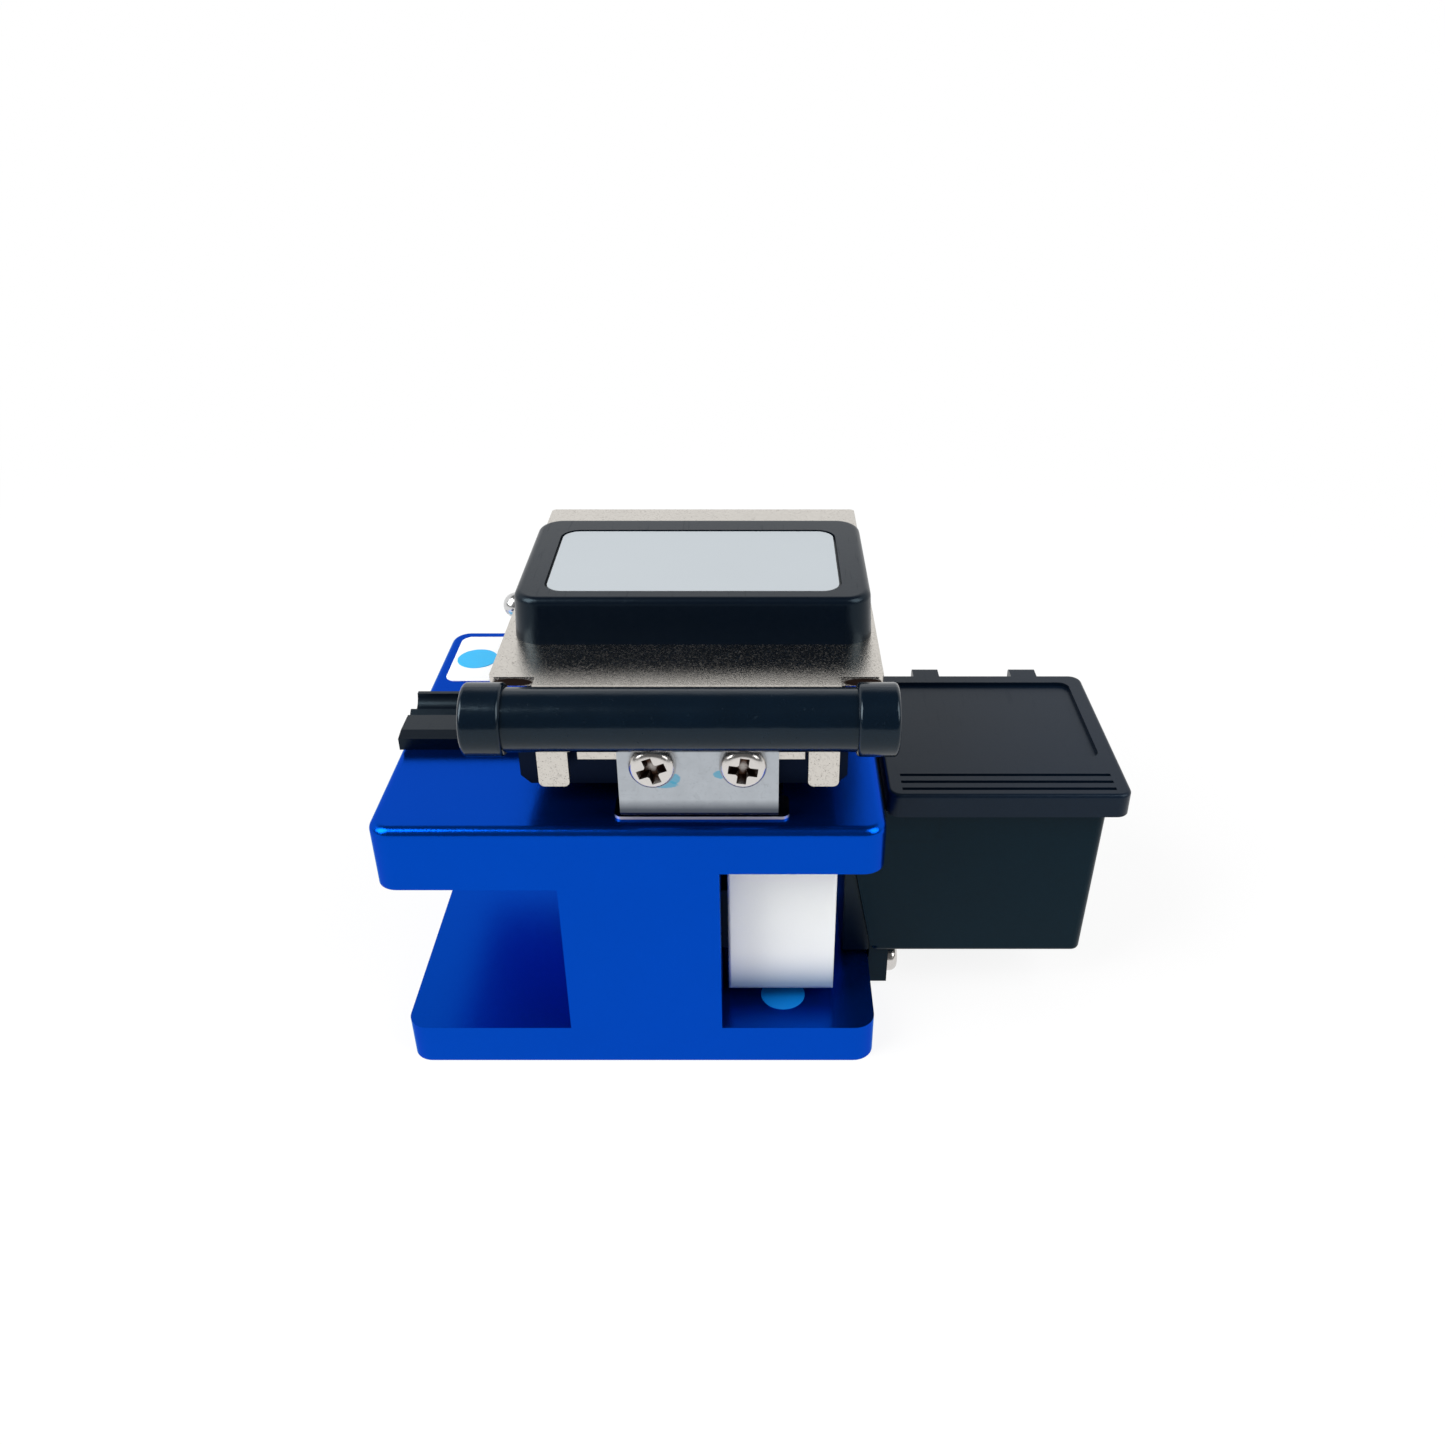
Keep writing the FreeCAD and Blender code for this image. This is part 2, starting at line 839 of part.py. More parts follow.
def hinge_tab(outer, inner):
    """Side tab that carries the lever on the rod, with a sloping gusset."""
    front = hinge_y - tab_radius
    points = [
        (front - tab_gusset_length, lever_under),
        (front - tab_gusset_length, lever_under - tab_gusset_height),
        (front, hinge_z),
        (hinge_y + tab_radius, hinge_z),
        (hinge_y + tab_radius, lever_under),
    ]
    left = min(outer, inner)
    right = max(outer, inner)
    plate = prism("x", points, left, right)
    eye = rod("x", tab_radius, left, right - left, (hinge_y, hinge_z))
    return join([plate, eye])


def make_lever_plate():
    plate = block(lever_left, lever_right, lever_front, lever_rear, lever_under, lever_top)
    corners = edges_where(plate, lambda box: is_along("z", box))
    plate = plate.makeFillet(leg_corner_radius, corners)
    nose = cut_all(lever_nose(), lever_nose_cuts())
    low = lever_top - leg_length
    leg_corners = edges_where(nose, lambda box: is_along("y", box) and box.ZMax < low + 1e-3)
    nose = nose.makeFillet(leg_corner_radius, leg_corners)
    tabs = [hinge_tab(lever_left, lever_left + lever_sheet)]
    tabs.append(hinge_tab(lever_right, lever_right - lever_sheet))
    shape = join([plate, nose] + tabs)
    cuts = [rod("x", rod_radius + shaft_clearance, lever_left - cut_run, lever_width + 2 * cut_run,
                (hinge_y, hinge_z))]
    through = lever_sheet + cut_run
    for place in pad_screw_places():
        cuts.append(facing(screw_hole(pad_screw_radius, through), place, (0, 0, -1)))
    for x, y, _ in holder_screw_places():
        hole = screw_hole(holder_screw_radius, through)
        cuts.append(facing(hole, (x, y, lever_under), (0, 0, -1)))
    for place in handle_screw_places():
        cuts.append(facing(screw_hole(handle_screw_radius, through), place, (0, 1, 0)))
    return cut_all(shape, cuts)


# ================================================================ press pad
def pad_box(grow, low, high):
    """The pad's room, grown or shrunk on its four sides."""
    half = pad_width / 2 + grow
    y0 = pad_front - grow
    y1 = y0 + pad_depth + 2 * grow
    return round_block("z", pad_corner_radius + grow, pad_center - half, pad_center + half,
                       y0, y1, low, high)


def label_box(grow, low, high):
    """The label's room, grown on its four sides."""
    half = label_width / 2 + grow
    y0 = pad_front + label_front_margin - grow
    y1 = y0 + label_depth + 2 * grow
    return round_block("z", label_corner_radius + grow, pad_center - half, pad_center + half,
                       y0, y1, low, high)


def make_press_pad():
    """Moulded pad: drafted sides, a rounded top rim and a shallow seat for the label."""
    top = lever_top + pad_height
    rings = []
    for shrink, height in ((0, lever_top), (pad_draft, top)):
        level = pad_box(-shrink, height, height + cut_run)
        rings.append(outline_at(level, height))
    shape = Part.makeLoft(rings, True)
    rim = edges_where(shape, lambda box: box.ZMin > top - 1e-3)
    shape = shape.makeFillet(pad_edge_radius, rim)
    cuts = [label_box(label_gap, top - label_recess_depth, top + cut_run)]
    for place in pad_screw_places():
        depth = lever_sheet + pad_screw_depth
        cuts.append(facing(screw_hole(pad_screw_radius, depth), place, (0, 0, -1)))
    return cut_all(shape, cuts)


def outline_at(shape, height):
    """Outer wire of a prism's face at one height."""
    for face in shape.Faces:
        if face.BoundBox.ZMax < height + 1e-4:
            return face.OuterWire
    return None


def make_pad_label():
    seat = lever_top + pad_height - label_recess_depth
    return label_box(0, seat, seat + label_thickness)


def make_pad_screws():
    screw = pan_screw(pad_screw_head_radius, pad_screw_head_height, pad_screw_radius,
                      lever_sheet + pad_screw_depth - seat_gap)
    return group([facing(screw, place, (0, 0, -1)) for place in pad_screw_places()])


# ================================================================ handle
def make_handle_rod():
    length = handle_length - 2 * cap_end_wall
    shape = rod("x", handle_rod_radius, handle_center - length / 2, length, (handle_y, handle_z))
    cuts = [handle_screw_bore(place) for place in handle_screw_places()]
    return cut_all(shape, cuts)


def handle_screw_bore(place):
    depth = lever_sheet + handle_screw_depth
    return facing(screw_hole(handle_screw_radius, depth), place, (0, 1, 0))


def make_handle_sleeve():
    length = handle_length - 2 * cap_length
    left = handle_center - length / 2
    outer = rod("x", sleeve_radius, left, length, (handle_y, handle_z))
    inner = rod("x", handle_rod_radius + seat_gap, left - cut_run, length + 2 * cut_run,
                (handle_y, handle_z))
    cuts = [inner] + [handle_screw_bore(place) for place in handle_screw_places()]
    return cut_all(outer, cuts)


def make_handle_cap(side):
    """Closed end cap, a little fatter than the sleeve; side is -1 or 1."""
    end = handle_center + side * handle_length / 2
    left = min(end, end - side * cap_length)
    shape = rod("x", cap_radius, left, cap_length, (handle_y, handle_z))
    shape = shape.makeFillet(cap_edge_radius, edges_where(shape, lambda box: box.XLength < 1e-3))
    depth = cap_length - cap_end_wall + seat_gap
    bore_left = left + cap_length - depth if side < 0 else left + depth - cap_length
    bore = rod("x", handle_rod_radius + seat_gap, bore_left, cap_length, (handle_y, handle_z))
    return shape.cut(bore)


def make_handle_screws():
    depth = lever_sheet + handle_screw_depth - seat_gap
    screw = pan_screw(handle_screw_head_radius, handle_screw_head_height, handle_screw_radius, depth)
    return group([facing(screw, place, (0, 1, 0)) for place in handle_screw_places()])


# ================================================================ clamp arm
def make_clamp_arm():
    """Machined arm: a slab, a hinge barrel at the rear and a nose for the catch."""
    slab = block(arm_left, arm_right, arm_front, hinge_y, arm_bottom, arm_top)
    lower = edges_where(slab, lambda box: is_along("y", box) and box.ZMax < arm_bottom + 1e-3)
    slab = slab.makeChamfer(arm_edge_chamfer, lower)
    barrel = rod("x", barrel_radius, arm_left, arm_right - arm_left, (hinge_y, hinge_z))
    boss = block(boss_center - boss_width / 2, boss_center + boss_width / 2,
                 bracket_back, arm_front + cut_run, boss_bottom, boss_top)
    shape = join([slab, barrel, boss])
    cuts = [rod("x", rod_radius + shaft_clearance, arm_left - cut_run, arm_right - arm_left + 2 * cut_run,
                (hinge_y, hinge_z))]
    margin = anvil_window_margin
    cuts.append(block(blade_x - anvil_length / 2 - margin, blade_x + anvil_length / 2 + margin,
                      fibre_y - anvil_depth / 2 - margin, fibre_y + anvil_depth / 2 + margin,
                      arm_bottom - cut_run, arm_top + cut_run))
    for left in pad_lefts():
        cuts.append(pad_seat_block(left, seat_gap, arm_bottom - cut_run, arm_bottom + upper_pad_depth))
    for place in spring_places():
        low = arm_top - spring_pocket_depth
        cuts.append(rod("z", spring_radius + spring_clearance, low, spring_pocket_depth + cut_run, place))
    for place in catch_screw_places():
        depth = bracket_thickness + catch_screw_depth
        cuts.append(facing(screw_hole(catch_screw_radius, depth), place, (0, -1, 0)))
    return cut_all(shape, cuts)


def make_upper_clamp_pads():
    low = fibre_z + fibre_radius
    high = arm_bottom + upper_pad_depth - seat_gap
    return group([pad_seat_block(left, 0, low, high) for left in pad_lefts()])


def make_catch_bracket():
    """Angle of sheet steel, its foot turned back over the keeper."""
    upright = block(bracket_left, bracket_right, bracket_front, bracket_back,
                    bracket_bottom, platform_top + bracket_top)
    foot = block(bracket_left, bracket_right, bracket_front, bracket_front + bracket_foot_length,
                 bracket_bottom, bracket_bottom + bracket_thickness)
    shape = join([upright, foot])
    heel = edges_where(shape, lambda box: is_along("x", box) and box.YMax < bracket_front + 1e-3
                       and box.ZMax < bracket_bottom + 1e-3)
    shape = shape.makeFillet(bracket_bend_radius, heel)
    cuts = [facing(screw_hole(catch_screw_radius, bracket_thickness + cut_run), place, (0, -1, 0))
            for place in catch_screw_places()]
    return cut_all(shape, cuts)


def make_catch_screws():
    depth = bracket_thickness + catch_screw_depth - seat_gap
    screw = pan_screw(catch_head_radius, catch_head_height, catch_screw_radius, depth)
    left, right = catch_screw_places()
    return group([facing(screw, left, (0, -1, 0), catch_screw_left_turn),
                  facing(screw, right, (0, -1, 0), catch_screw_right_turn)])


def make_keeper_plate():
    half = keeper_width / 2
    middle = boss_center + keeper_offset
    return round_block("z", keeper_corner_radius, middle - half, middle + half,
                       keeper_front, keeper_front + keeper_depth, platform_top, keeper_top)


def make_keeper_magnets():
    low = platform_top - magnet_height
    return group([rod("z", magnet_radius, low, magnet_height - seat_gap, place) for place in magnet_places()])


# ================================================================ clamp pads on the platform
def make_lower_pad_seats():
    low = platform_top - lower_pad_sink
    seats = []
    for left in pad_lefts():
        outer = pad_seat_block(left, seat_wall - seat_gap, low, platform_top)
        inner = pad_seat_block(left, seat_gap, low + seat_floor, platform_top + cut_run)
        seats.append(outer.cut(inner))
    return group(seats)


def make_lower_clamp_pads():
    low = platform_top - lower_pad_sink + seat_floor
    high = fibre_z - fibre_radius
    return group([pad_seat_block(left, 0, low, high) for left in pad_lefts()])


# ================================================================ anvil and springs
def make_anvil_holder():
    """Steel block under the lever plate, with the stem that carries the anvil's tip."""
    half = holder_length / 2
    y0 = fibre_y - holder_depth / 2
    block_top = block(blade_x - half, blade_x + half, y0, y0 + holder_depth, holder_bottom, lever_under)
    stem = block(blade_x - anvil_length / 2, blade_x + anvil_length / 2,
                 fibre_y - anvil_depth / 2, fibre_y + anvil_depth / 2,
                 anvil_bottom + anvil_tip_height, holder_bottom)
    shape = join([block_top, stem])
    depth = holder_height + lever_sheet
    cuts = [facing(screw_hole(holder_screw_radius, depth), place, (0, 0, -1))
            for place in holder_screw_places()]
    return cut_all(shape, cuts)


def make_anvil():
    """Hard rubber tip with a wedge-shaped lower edge."""
    half = anvil_length / 2
    edge = anvil_edge_width / 2
    top = anvil_bottom + anvil_tip_height
    shoulder = anvil_bottom + anvil_wedge_height
    points = [
        (blade_x - half, top),
        (blade_x - half, shoulder),
        (blade_x - edge, anvil_bottom),
        (blade_x + edge, anvil_bottom),
        (blade_x + half, shoulder),
        (blade_x + half, top),
    ]
    return prism("y", points, fibre_y - anvil_depth / 2, fibre_y + anvil_depth / 2)


def make_anvil_screws():
    depth = holder_height + lever_sheet
    screw = pan_screw(holder_screw_head_radius, holder_screw_head_height, holder_screw_radius, depth)
    return group([facing(screw, place, (0, 0, -1)) for place in holder_screw_places()])


def make_lever_springs():
    """Two open-coil springs that lift the lever off the arm."""
    low = arm_top - spring_pocket_depth + spring_wire_radius
    height = lever_under - spring_wire_radius - low
    coil_radius = spring_radius - spring_wire_radius
    springs = []
    for x, y in spring_places():
        path = Part.makeHelix(height / spring_turns, height, coil_radius)
        ring = Part.makeCircle(spring_wire_radius, vec(coil_radius, 0, 0), vec(0, 1, 0))
        coil = Part.Wire(path).makePipeShell([Part.Wire(ring)], True, True)
        coil.translate(vec(x, y, low))
        springs.append(coil)
    return group(springs)


# ================================================================ blade slider
def make_slider_rail():
    y0 = groove_front + rail_end_gap
    y1 = frame_rear - seat_gap
    z0 = groove_center - rail_height / 2
    shape = block(groove_left, groove_left + rail_thickness, y0, y1, z0, z0 + rail_height)
    cuts = [facing(flat_screw_hole(rail_screw_head_radius, rail_screw_head_height, rail_screw_radius,
                                   rail_thickness + cut_run), place, (1, 0, 0))
            for place in rail_screw_places()]
    cuts.extend(facing(screw_hole(stop_pin_radius, rail_thickness), place, (1, 0, 0))
                for place in stop_pin_places())
    return cut_all(shape, cuts)


def stop_pin_places():
    face = groove_left + rail_thickness
    front = carriage_front - stop_gap - stop_pin_radius
    return [(face, front, groove_center), (face, rear_stop_y, groove_center)]


def make_rail_screws():
    screw = flat_screw(rail_screw_head_radius, rail_screw_head_height, rail_screw_radius,
                       rail_thickness + rail_screw_depth - seat_gap)
    return group([facing(screw, place, (1, 0, 0)) for place in rail_screw_places()])


def make_rail_stop_pins():
    pins = []
    for x, y, z in stop_pin_places():
        start = groove_left + seat_gap
        pins.append(rod("x", stop_pin_radius, start, x - start + stop_pin_length, (y, z)))
    return group(pins)


def make_slider_carriage():
    """C-shaped shoe that wraps the rail and fills the frame's groove."""
    gap = carriage_gap
    shape = block(groove_left + gap, slider_left, carriage_front, carriage_rear,
                  groove_bottom + gap, groove_top - gap)
    half = rail_height / 2 + gap
    channel = block(groove_left - cut_run, groove_left + rail_thickness + gap, carriage_front - cut_run,
                    carriage_rear + cut_run, groove_center - half, groove_center + half)
    return cut_all(shape, [channel] + carriage_screw_holes())


def carriage_screw_holes():
    depth = holder_right - slider_left + carriage_screw_depth
    hole = screw_hole(carriage_screw_radius, depth)
    return [facing(hole, place, (1, 0, 0)) for place in carriage_screw_places()]


def blade_pocket():
    """Pocket that holds the blade and its holder, open at the slider's top."""
    end = blade_radius + pocket_side_gap
    right = blade_right + blade_screw_head_height + 2 * pocket_side_gap
    return block(holder_left, right, blade_y - end, blade_y + end, pocket_bottom, slider_top + cut_run)


def make_slider_block():
    shape = block(slider_left, slider_right, slider_front, slider_rear, slider_bottom, slider_top)
    sides = edges_where(shape, lambda box: is_along("z", box))
    shape = shape.makeFillet(slider_side_radius, sides)
    driver = blade_screw_head_radius + pocket_side_gap
    window = block(blade_x, slider_right + cut_run, blade_y - driver, blade_y + driver,
                   blade_z - 2 * driver, slider_top + cut_run)
    return cut_all(shape, [toe_cut(), blade_pocket(), window] + carriage_screw_holes())


def toe_cut():
    """Rounds the slider's lower front edge."""
    r = slider_edge_radius
    corner = block(slider_left - cut_run, slider_right + cut_run, slider_front - cut_run,
                   slider_front + r, slider_bottom - cut_run, slider_bottom + r)
    keep = rod("x", r, slider_left - 2 * cut_run, slider_width + 4 * cut_run,
               (slider_front + r, slider_bottom + r))
    return corner.cut(keep)


def make_blade_holder():
    """Upright plate with the stub that the blade turns on."""
    half = holder_plate_width / 2
    low = pocket_bottom + seat_gap
    plate = block(holder_left + seat_gap, holder_right, blade_y - half, blade_y + half, low, blade_z)
    crown = rod("x", holder_plate_top, holder_left + seat_gap, holder_right - holder_left - seat_gap,
                (blade_y, blade_z))
    shoulders = edges_where(plate, lambda box: is_along("x", box) and box.ZMin > blade_z - 1e-3)
    plate = plate.makeChamfer(half - holder_plate_top, shoulders)
    stub_length = blade_right - holder_right
    stub = rod("x", blade_bore_radius - shaft_clearance, holder_right, stub_length, (blade_y, blade_z))
    shape = join([plate, crown, stub])
    bore = rod("x", blade_screw_radius + hole_clearance, holder_left - cut_run,
               blade_right - holder_left + 2 * cut_run, (blade_y, blade_z))
    return cut_all(shape, [bore] + carriage_screw_holes())


def make_carriage_screws():
    screws = []
    for x, y, z in carriage_screw_places():
        depth = x - slider_left + carriage_screw_depth - seat_gap
        screw = pan_screw(carriage_screw_head_radius, carriage_screw_head_height,
                          carriage_screw_radius, depth)
        screws.append(facing(screw, (x, y, z), (1, 0, 0)))
    return group(screws)


def make_blade():
    """Round blade, bevelled on both faces to one edge."""
    half = blade_thickness / 2
    inner = blade_radius - blade_bevel
    points = [
        (-half, blade_bore_radius),
        (-half, inner),
        (0, blade_radius),
        (half, inner),
        (half, blade_bore_radius),
    ]
    corners = [vec(blade_x + x, blade_y, blade_z + r) for x, r in points]
    face = Part.Face(Part.makePolygon(corners + corners[:1]))
    return face.revolve(vec(blade_x, blade_y, blade_z), vec(1, 0, 0), 360)


def make_blade_screw():
    place = (blade_right + seat_gap, blade_y, blade_z)
    screw = pan_screw(blade_screw_head_radius, blade_screw_head_height,
                      blade_screw_radius, blade_screw_depth)
    return facing(screw, place, (1, 0, 0))


# ================================================================ fibre adapter
def make_fibre_adapter():
    """Bar that guides the fibre to the clamp pads: a V groove with a round channel behind it."""
    front = fibre_y - adapter_front
    rear = fibre_y + adapter_rear
    top = platform_top + adapter_height
    ridge = platform_top + adapter_ridge_height
    channel_y = fibre_y + adapter_channel_offset
    points = [
        (front, platform_top),
        (front, platform_top + adapter_front_height),
        (front + adapter_slope_run, top),
        (fibre_y - adapter_lip_front, top),
        (fibre_y, fibre_z - 2 * fibre_radius),
        (fibre_y + adapter_lip_rear, top),
        (channel_y, top),
        (channel_y, ridge),
        (rear, ridge),
        (rear, platform_top),
    ]
    right = pad_lefts()[0] - seat_wall - moving_gap
    shape = prism("x", points, platform_left, right)
    cuts = [rod("x", adapter_channel_radius, platform_left - cut_run, right - platform_left + 2 * cut_run,
                (channel_y, platform_top + adapter_channel_height))]
    cuts.extend(facing(flat_screw_hole(adapter_screw_head_radius, adapter_screw_head_height,
                                       adapter_screw_radius, adapter_height + cut_run), place, (0, 0, 1))
                for place in adapter_screw_places())
    return cut_all(shape, cuts)


def make_adapter_screws():
    screw = flat_screw(adapter_screw_head_radius, adapter_screw_head_height, adapter_screw_radius,
                       adapter_screw_depth)
    return group([facing(screw, place, (0, 0, 1)) for place in adapter_screw_places()])


# ================================================================ off-cut box
def chute():
    """Sloping mouth that reaches in under the platform."""
    points = [
        (box_left - chute_reach, chute_top),
        (box_left + box_wall, chute_top),
        (box_left + box_wall, box_bottom + chute_toe_rise),
        (box_left, box_bottom + chute_toe_rise),
    ]
    return prism("y", points, box_front, box_rear)


def chute_hollow():
    top = chute_top + cut_run
    inside = box_left + box_wall + cut_run
    points = [
        (box_left - chute_reach + box_wall, top),
        (inside, top),
        (inside, box_bottom + 2 * box_wall),
        (box_left + box_wall, box_bottom + 2 * box_wall),
    ]
    return prism("y", points, box_front + box_wall, box_rear - box_wall)


def drafted_box(inset, bottom, top):
    """Tub that narrows by the draft towards its floor."""
    rings = []
    corner = max(box_corner_radius - inset, least_corner)
    for height, narrowing in ((bottom, box_draft), (top, 0)):
        level = round_block("z", corner, box_left + inset, box_right - inset - narrowing,
                            box_front + inset, box_rear - inset, height, height + cut_run)
        rings.append(outline_at(level, height))
    return Part.makeLoft(rings, True)


def box_rim(left, inset, low, high):
    """Room of the raised rim that the lid closes over, set in from the tub's three outer sides."""
    corner = max(box_corner_radius - inset, least_corner)
    return round_block("z", corner, left, box_right - inset, box_front + inset,
                       box_rear - inset, low, high)


def box_lugs():
    """Hinge lugs on the rear wall, one on each side of each knuckle of the lid."""
    lugs = []
    for center in knuckle_centers():
        for side in (-1, 1):
            inner = center + side * (knuckle_width / 2 + moving_gap)
            low = min(inner, inner + side * lug_width)
            lug = rod("x", lug_radius, low, lug_width, (lid_pin_y, lid_pin_z))
            wall = box_rear - box_wall / 2
            points = [(wall, lid_pin_z - lug_length), (wall, lid_pin_z), (lid_pin_y + lug_radius, lid_pin_z)]
            lugs.append(join([lug, prism("x", points, low, low + lug_width)]))
    return lugs


def knuckle_centers():
    return [knuckle_center - knuckle_spacing / 2, knuckle_center + knuckle_spacing / 2]


def make_collector_box():
    """Open-topped tub with a sloping mouth, a screwed flange and hinge lugs."""
    tub = drafted_box(0, box_bottom, box_ledge)
    bottom_rim = edges_where(tub, lambda box: box.ZMax < box_bottom + 1e-3)
    tub = tub.makeFillet(box_bottom_radius, bottom_rim)
    flange = block(box_left, box_left + box_flange_thickness, -box_flange_depth / 2,
                   box_flange_depth / 2, box_flange_bottom, box_bottom + box_flange_overlap)
    latch_left = box_left + latch_inset
    latch = block(latch_left, latch_left + latch_width, box_front - latch_rise,
                  box_front + box_wall / 2, lid_bottom - latch_height, lid_bottom)
    rim_foot = box_ledge - box_wall
    rim = box_rim(rim_left, box_rim_step, rim_foot, box_top)
    shape = join([tub, rim, chute(), flange, latch])
    shape = shape.cut(drafted_box(box_wall, box_bottom + box_wall, box_ledge - box_wall))
    mouth = box_rim(rim_left + box_wall, box_wall, rim_foot, box_top + cut_run)
    shape = cut_all(shape, [mouth, chute_hollow()])
    shape = join([shape] + box_lugs())
    cuts = [rod("x", lid_pin_radius + hole_clearance, lid_left, lid_right - lid_left, (lid_pin_y, lid_pin_z))]
    for place in box_screw_places():
        hole = screw_hole(box_screw_radius, box_flange_thickness + cut_run)
        cuts.append(facing(hole, place, (1, 0, 0)))
    return cut_all(shape, cuts)


def make_collector_screws():
    screw = pan_screw(box_screw_head_radius, box_screw_head_height, box_screw_radius,
                      box_flange_thickness + box_screw_depth - seat_gap)
    return group([facing(screw, place, (1, 0, 0)) for place in box_screw_places()])


def make_lid_pin():
    reach = knuckle_width / 2 + moving_gap + lug_width
    left = knuckle_centers()[0] - reach
    right = knuckle_centers()[1] + reach
    return rod("x", lid_pin_radius, left, right - left, (lid_pin_y, lid_pin_z))


def make_collector_lid():
    """Moulded lid: a skirt all round, a sunk panel, finger grooves and two knuckles."""
    shape = round_block("z", lid_corner_radius, lid_left, lid_right, lid_front, lid_rear, lid_bottom, lid_top)
    rim = edges_where(shape, lambda box: box.ZMin > lid_top - 1e-3)
    shape = shape.makeFillet(lid_edge_radius, rim)
    hollow = round_block("z", lid_corner_radius - lid_wall, lid_left + lid_wall, lid_right - lid_wall,
                         lid_front + lid_wall, lid_rear + lid_wall, lid_bottom - cut_run, lid_top - lid_wall)
    panel = round_block("z", lid_panel_corner_radius, lid_left + lid_panel_margin,
                        lid_right - lid_panel_margin, lid_front + lid_panel_front,
                        lid_rear - lid_panel_margin, lid_top - lid_panel_depth, lid_top + cut_run)
    shape = cut_all(shape, [hollow, panel])
    for i in range(grip_groove_count):
        y0 = lid_front + grip_groove_front + i * grip_groove_pitch
        groove = block(lid_left + grip_groove_margin, lid_right - grip_groove_margin, y0,
                       y0 + grip_groove_width, lid_top - grip_groove_depth, lid_top + cut_run)
        shape = shape.cut(groove)
    knuckles = []
    for center in knuckle_centers():
        left = center - knuckle_width / 2
        eye = rod("x", knuckle_radius, left, knuckle_width, (lid_pin_y, lid_pin_z))
        back = lid_pin_y + knuckle_radius
        arm = block(left, left + knuckle_width, box_rear + box_rim_gap, back, lid_pin_z, lid_top)
        top_rear = edges_where(arm, lambda box: is_along("x", box) and box.ZMin > lid_top - 1e-3
                               and box.YMin > back - 1e-3)
        knuckles.append(join([eye, arm.makeFillet(knuckle_edge_radius, top_rear)]))
    shape = join([shape] + knuckles)
    pin = rod("x", lid_pin_radius + shaft_clearance, lid_left, lid_right - lid_left, (lid_pin_y, lid_pin_z))
    return shape.cut(pin)


# ================================================================ build
save("body_frame", make_body_frame())
save("hinge_ear_left", make_hinge_ear_left())
save("hinge_ear_right", make_hinge_ear_right())
save("hinge_screws", make_hinge_screws())
save("hinge_rod", make_hinge_rod())
save("lever_plate", make_lever_plate())
save("press_pad", make_press_pad())
save("pad_label", make_pad_label())
save("pad_screws", make_pad_screws())
save("handle_rod", make_handle_rod())
save("handle_sleeve", make_handle_sleeve())
save("handle_cap_left", make_handle_cap(-1))
save("handle_cap_right", make_handle_cap(1))
save("handle_screws", make_handle_screws())
save("clamp_arm", make_clamp_arm())
save("upper_clamp_pads", make_upper_clamp_pads())
save("catch_bracket", make_catch_bracket())
save("catch_screws", make_catch_screws())
save("keeper_plate", make_keeper_plate())
save("keeper_magnets", make_keeper_magnets())
save("lower_pad_seats", make_lower_pad_seats())
save("lower_clamp_pads", make_lower_clamp_pads())
save("anvil_holder", make_anvil_holder())
save("anvil", make_anvil())
save("anvil_screws", make_anvil_screws())
save("lever_springs", make_lever_springs())
save("slider_rail", make_slider_rail())
save("rail_screws", make_rail_screws())
save("rail_stop_pins", make_rail_stop_pins())
save("slider_carriage", make_slider_carriage())
save("slider_block", make_slider_block())
save("blade_holder", make_blade_holder())
save("carriage_screws", make_carriage_screws())
save("blade", make_blade())
save("blade_screw", make_blade_screw())
save("fibre_adapter", make_fibre_adapter())
save("adapter_screws", make_adapter_screws())
save("collector_box", make_collector_box())
save("collector_screws", make_collector_screws())
save("lid_pin", make_lid_pin())
save("collector_lid", make_collector_lid())
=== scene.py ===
# %% [markdown]
# # A fibre cleaver, dressed for the bench
#
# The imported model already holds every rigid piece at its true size, as an exact solid.
# What it lacks is its finishes: blasted and dyed aluminium, plated sheet, black mouldings,
# bright screw heads. This lesson adds those, along with a vinyl patch, two stuck-on discs,
# the skirt under the off-cut chute, a floor, soft light and a camera.
#
# It begins by loading the model as a fixed frame. Nothing in it is moved or reshaped here.

import json
import math

import bpy
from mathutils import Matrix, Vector


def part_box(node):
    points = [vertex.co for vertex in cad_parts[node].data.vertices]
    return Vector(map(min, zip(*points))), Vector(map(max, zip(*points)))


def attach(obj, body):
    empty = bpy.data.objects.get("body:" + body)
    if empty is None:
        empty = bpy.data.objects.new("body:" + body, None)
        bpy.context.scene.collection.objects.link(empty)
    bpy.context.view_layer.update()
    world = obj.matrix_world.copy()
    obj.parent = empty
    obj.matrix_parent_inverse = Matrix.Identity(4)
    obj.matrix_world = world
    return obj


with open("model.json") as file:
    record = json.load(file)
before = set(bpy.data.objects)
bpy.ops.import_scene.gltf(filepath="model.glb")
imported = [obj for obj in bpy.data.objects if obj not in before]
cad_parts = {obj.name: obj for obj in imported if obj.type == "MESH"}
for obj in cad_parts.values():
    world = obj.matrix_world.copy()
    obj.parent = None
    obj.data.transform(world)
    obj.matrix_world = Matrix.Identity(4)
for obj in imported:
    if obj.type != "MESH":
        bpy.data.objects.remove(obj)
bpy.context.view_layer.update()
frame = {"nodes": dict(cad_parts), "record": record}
nodes = frame["nodes"]

# %% [markdown]
# ## The camera
#
# It stands about 150 mm in front of the tool's middle and looks down on it at 31 degrees,
# close enough for the top to spread wider than the base. A camera could be aimed with a
# tracking constraint, but a written place and turn is plainer and always frames the same.
# It comes first, so that each finish can be judged in the view where it matters most.

# %% Camera
MM = 0.001
CAMERA_PLACE_MM = (15.5, -148.5, 126.8)
LOOKS_DOWN_DEG = 30.884


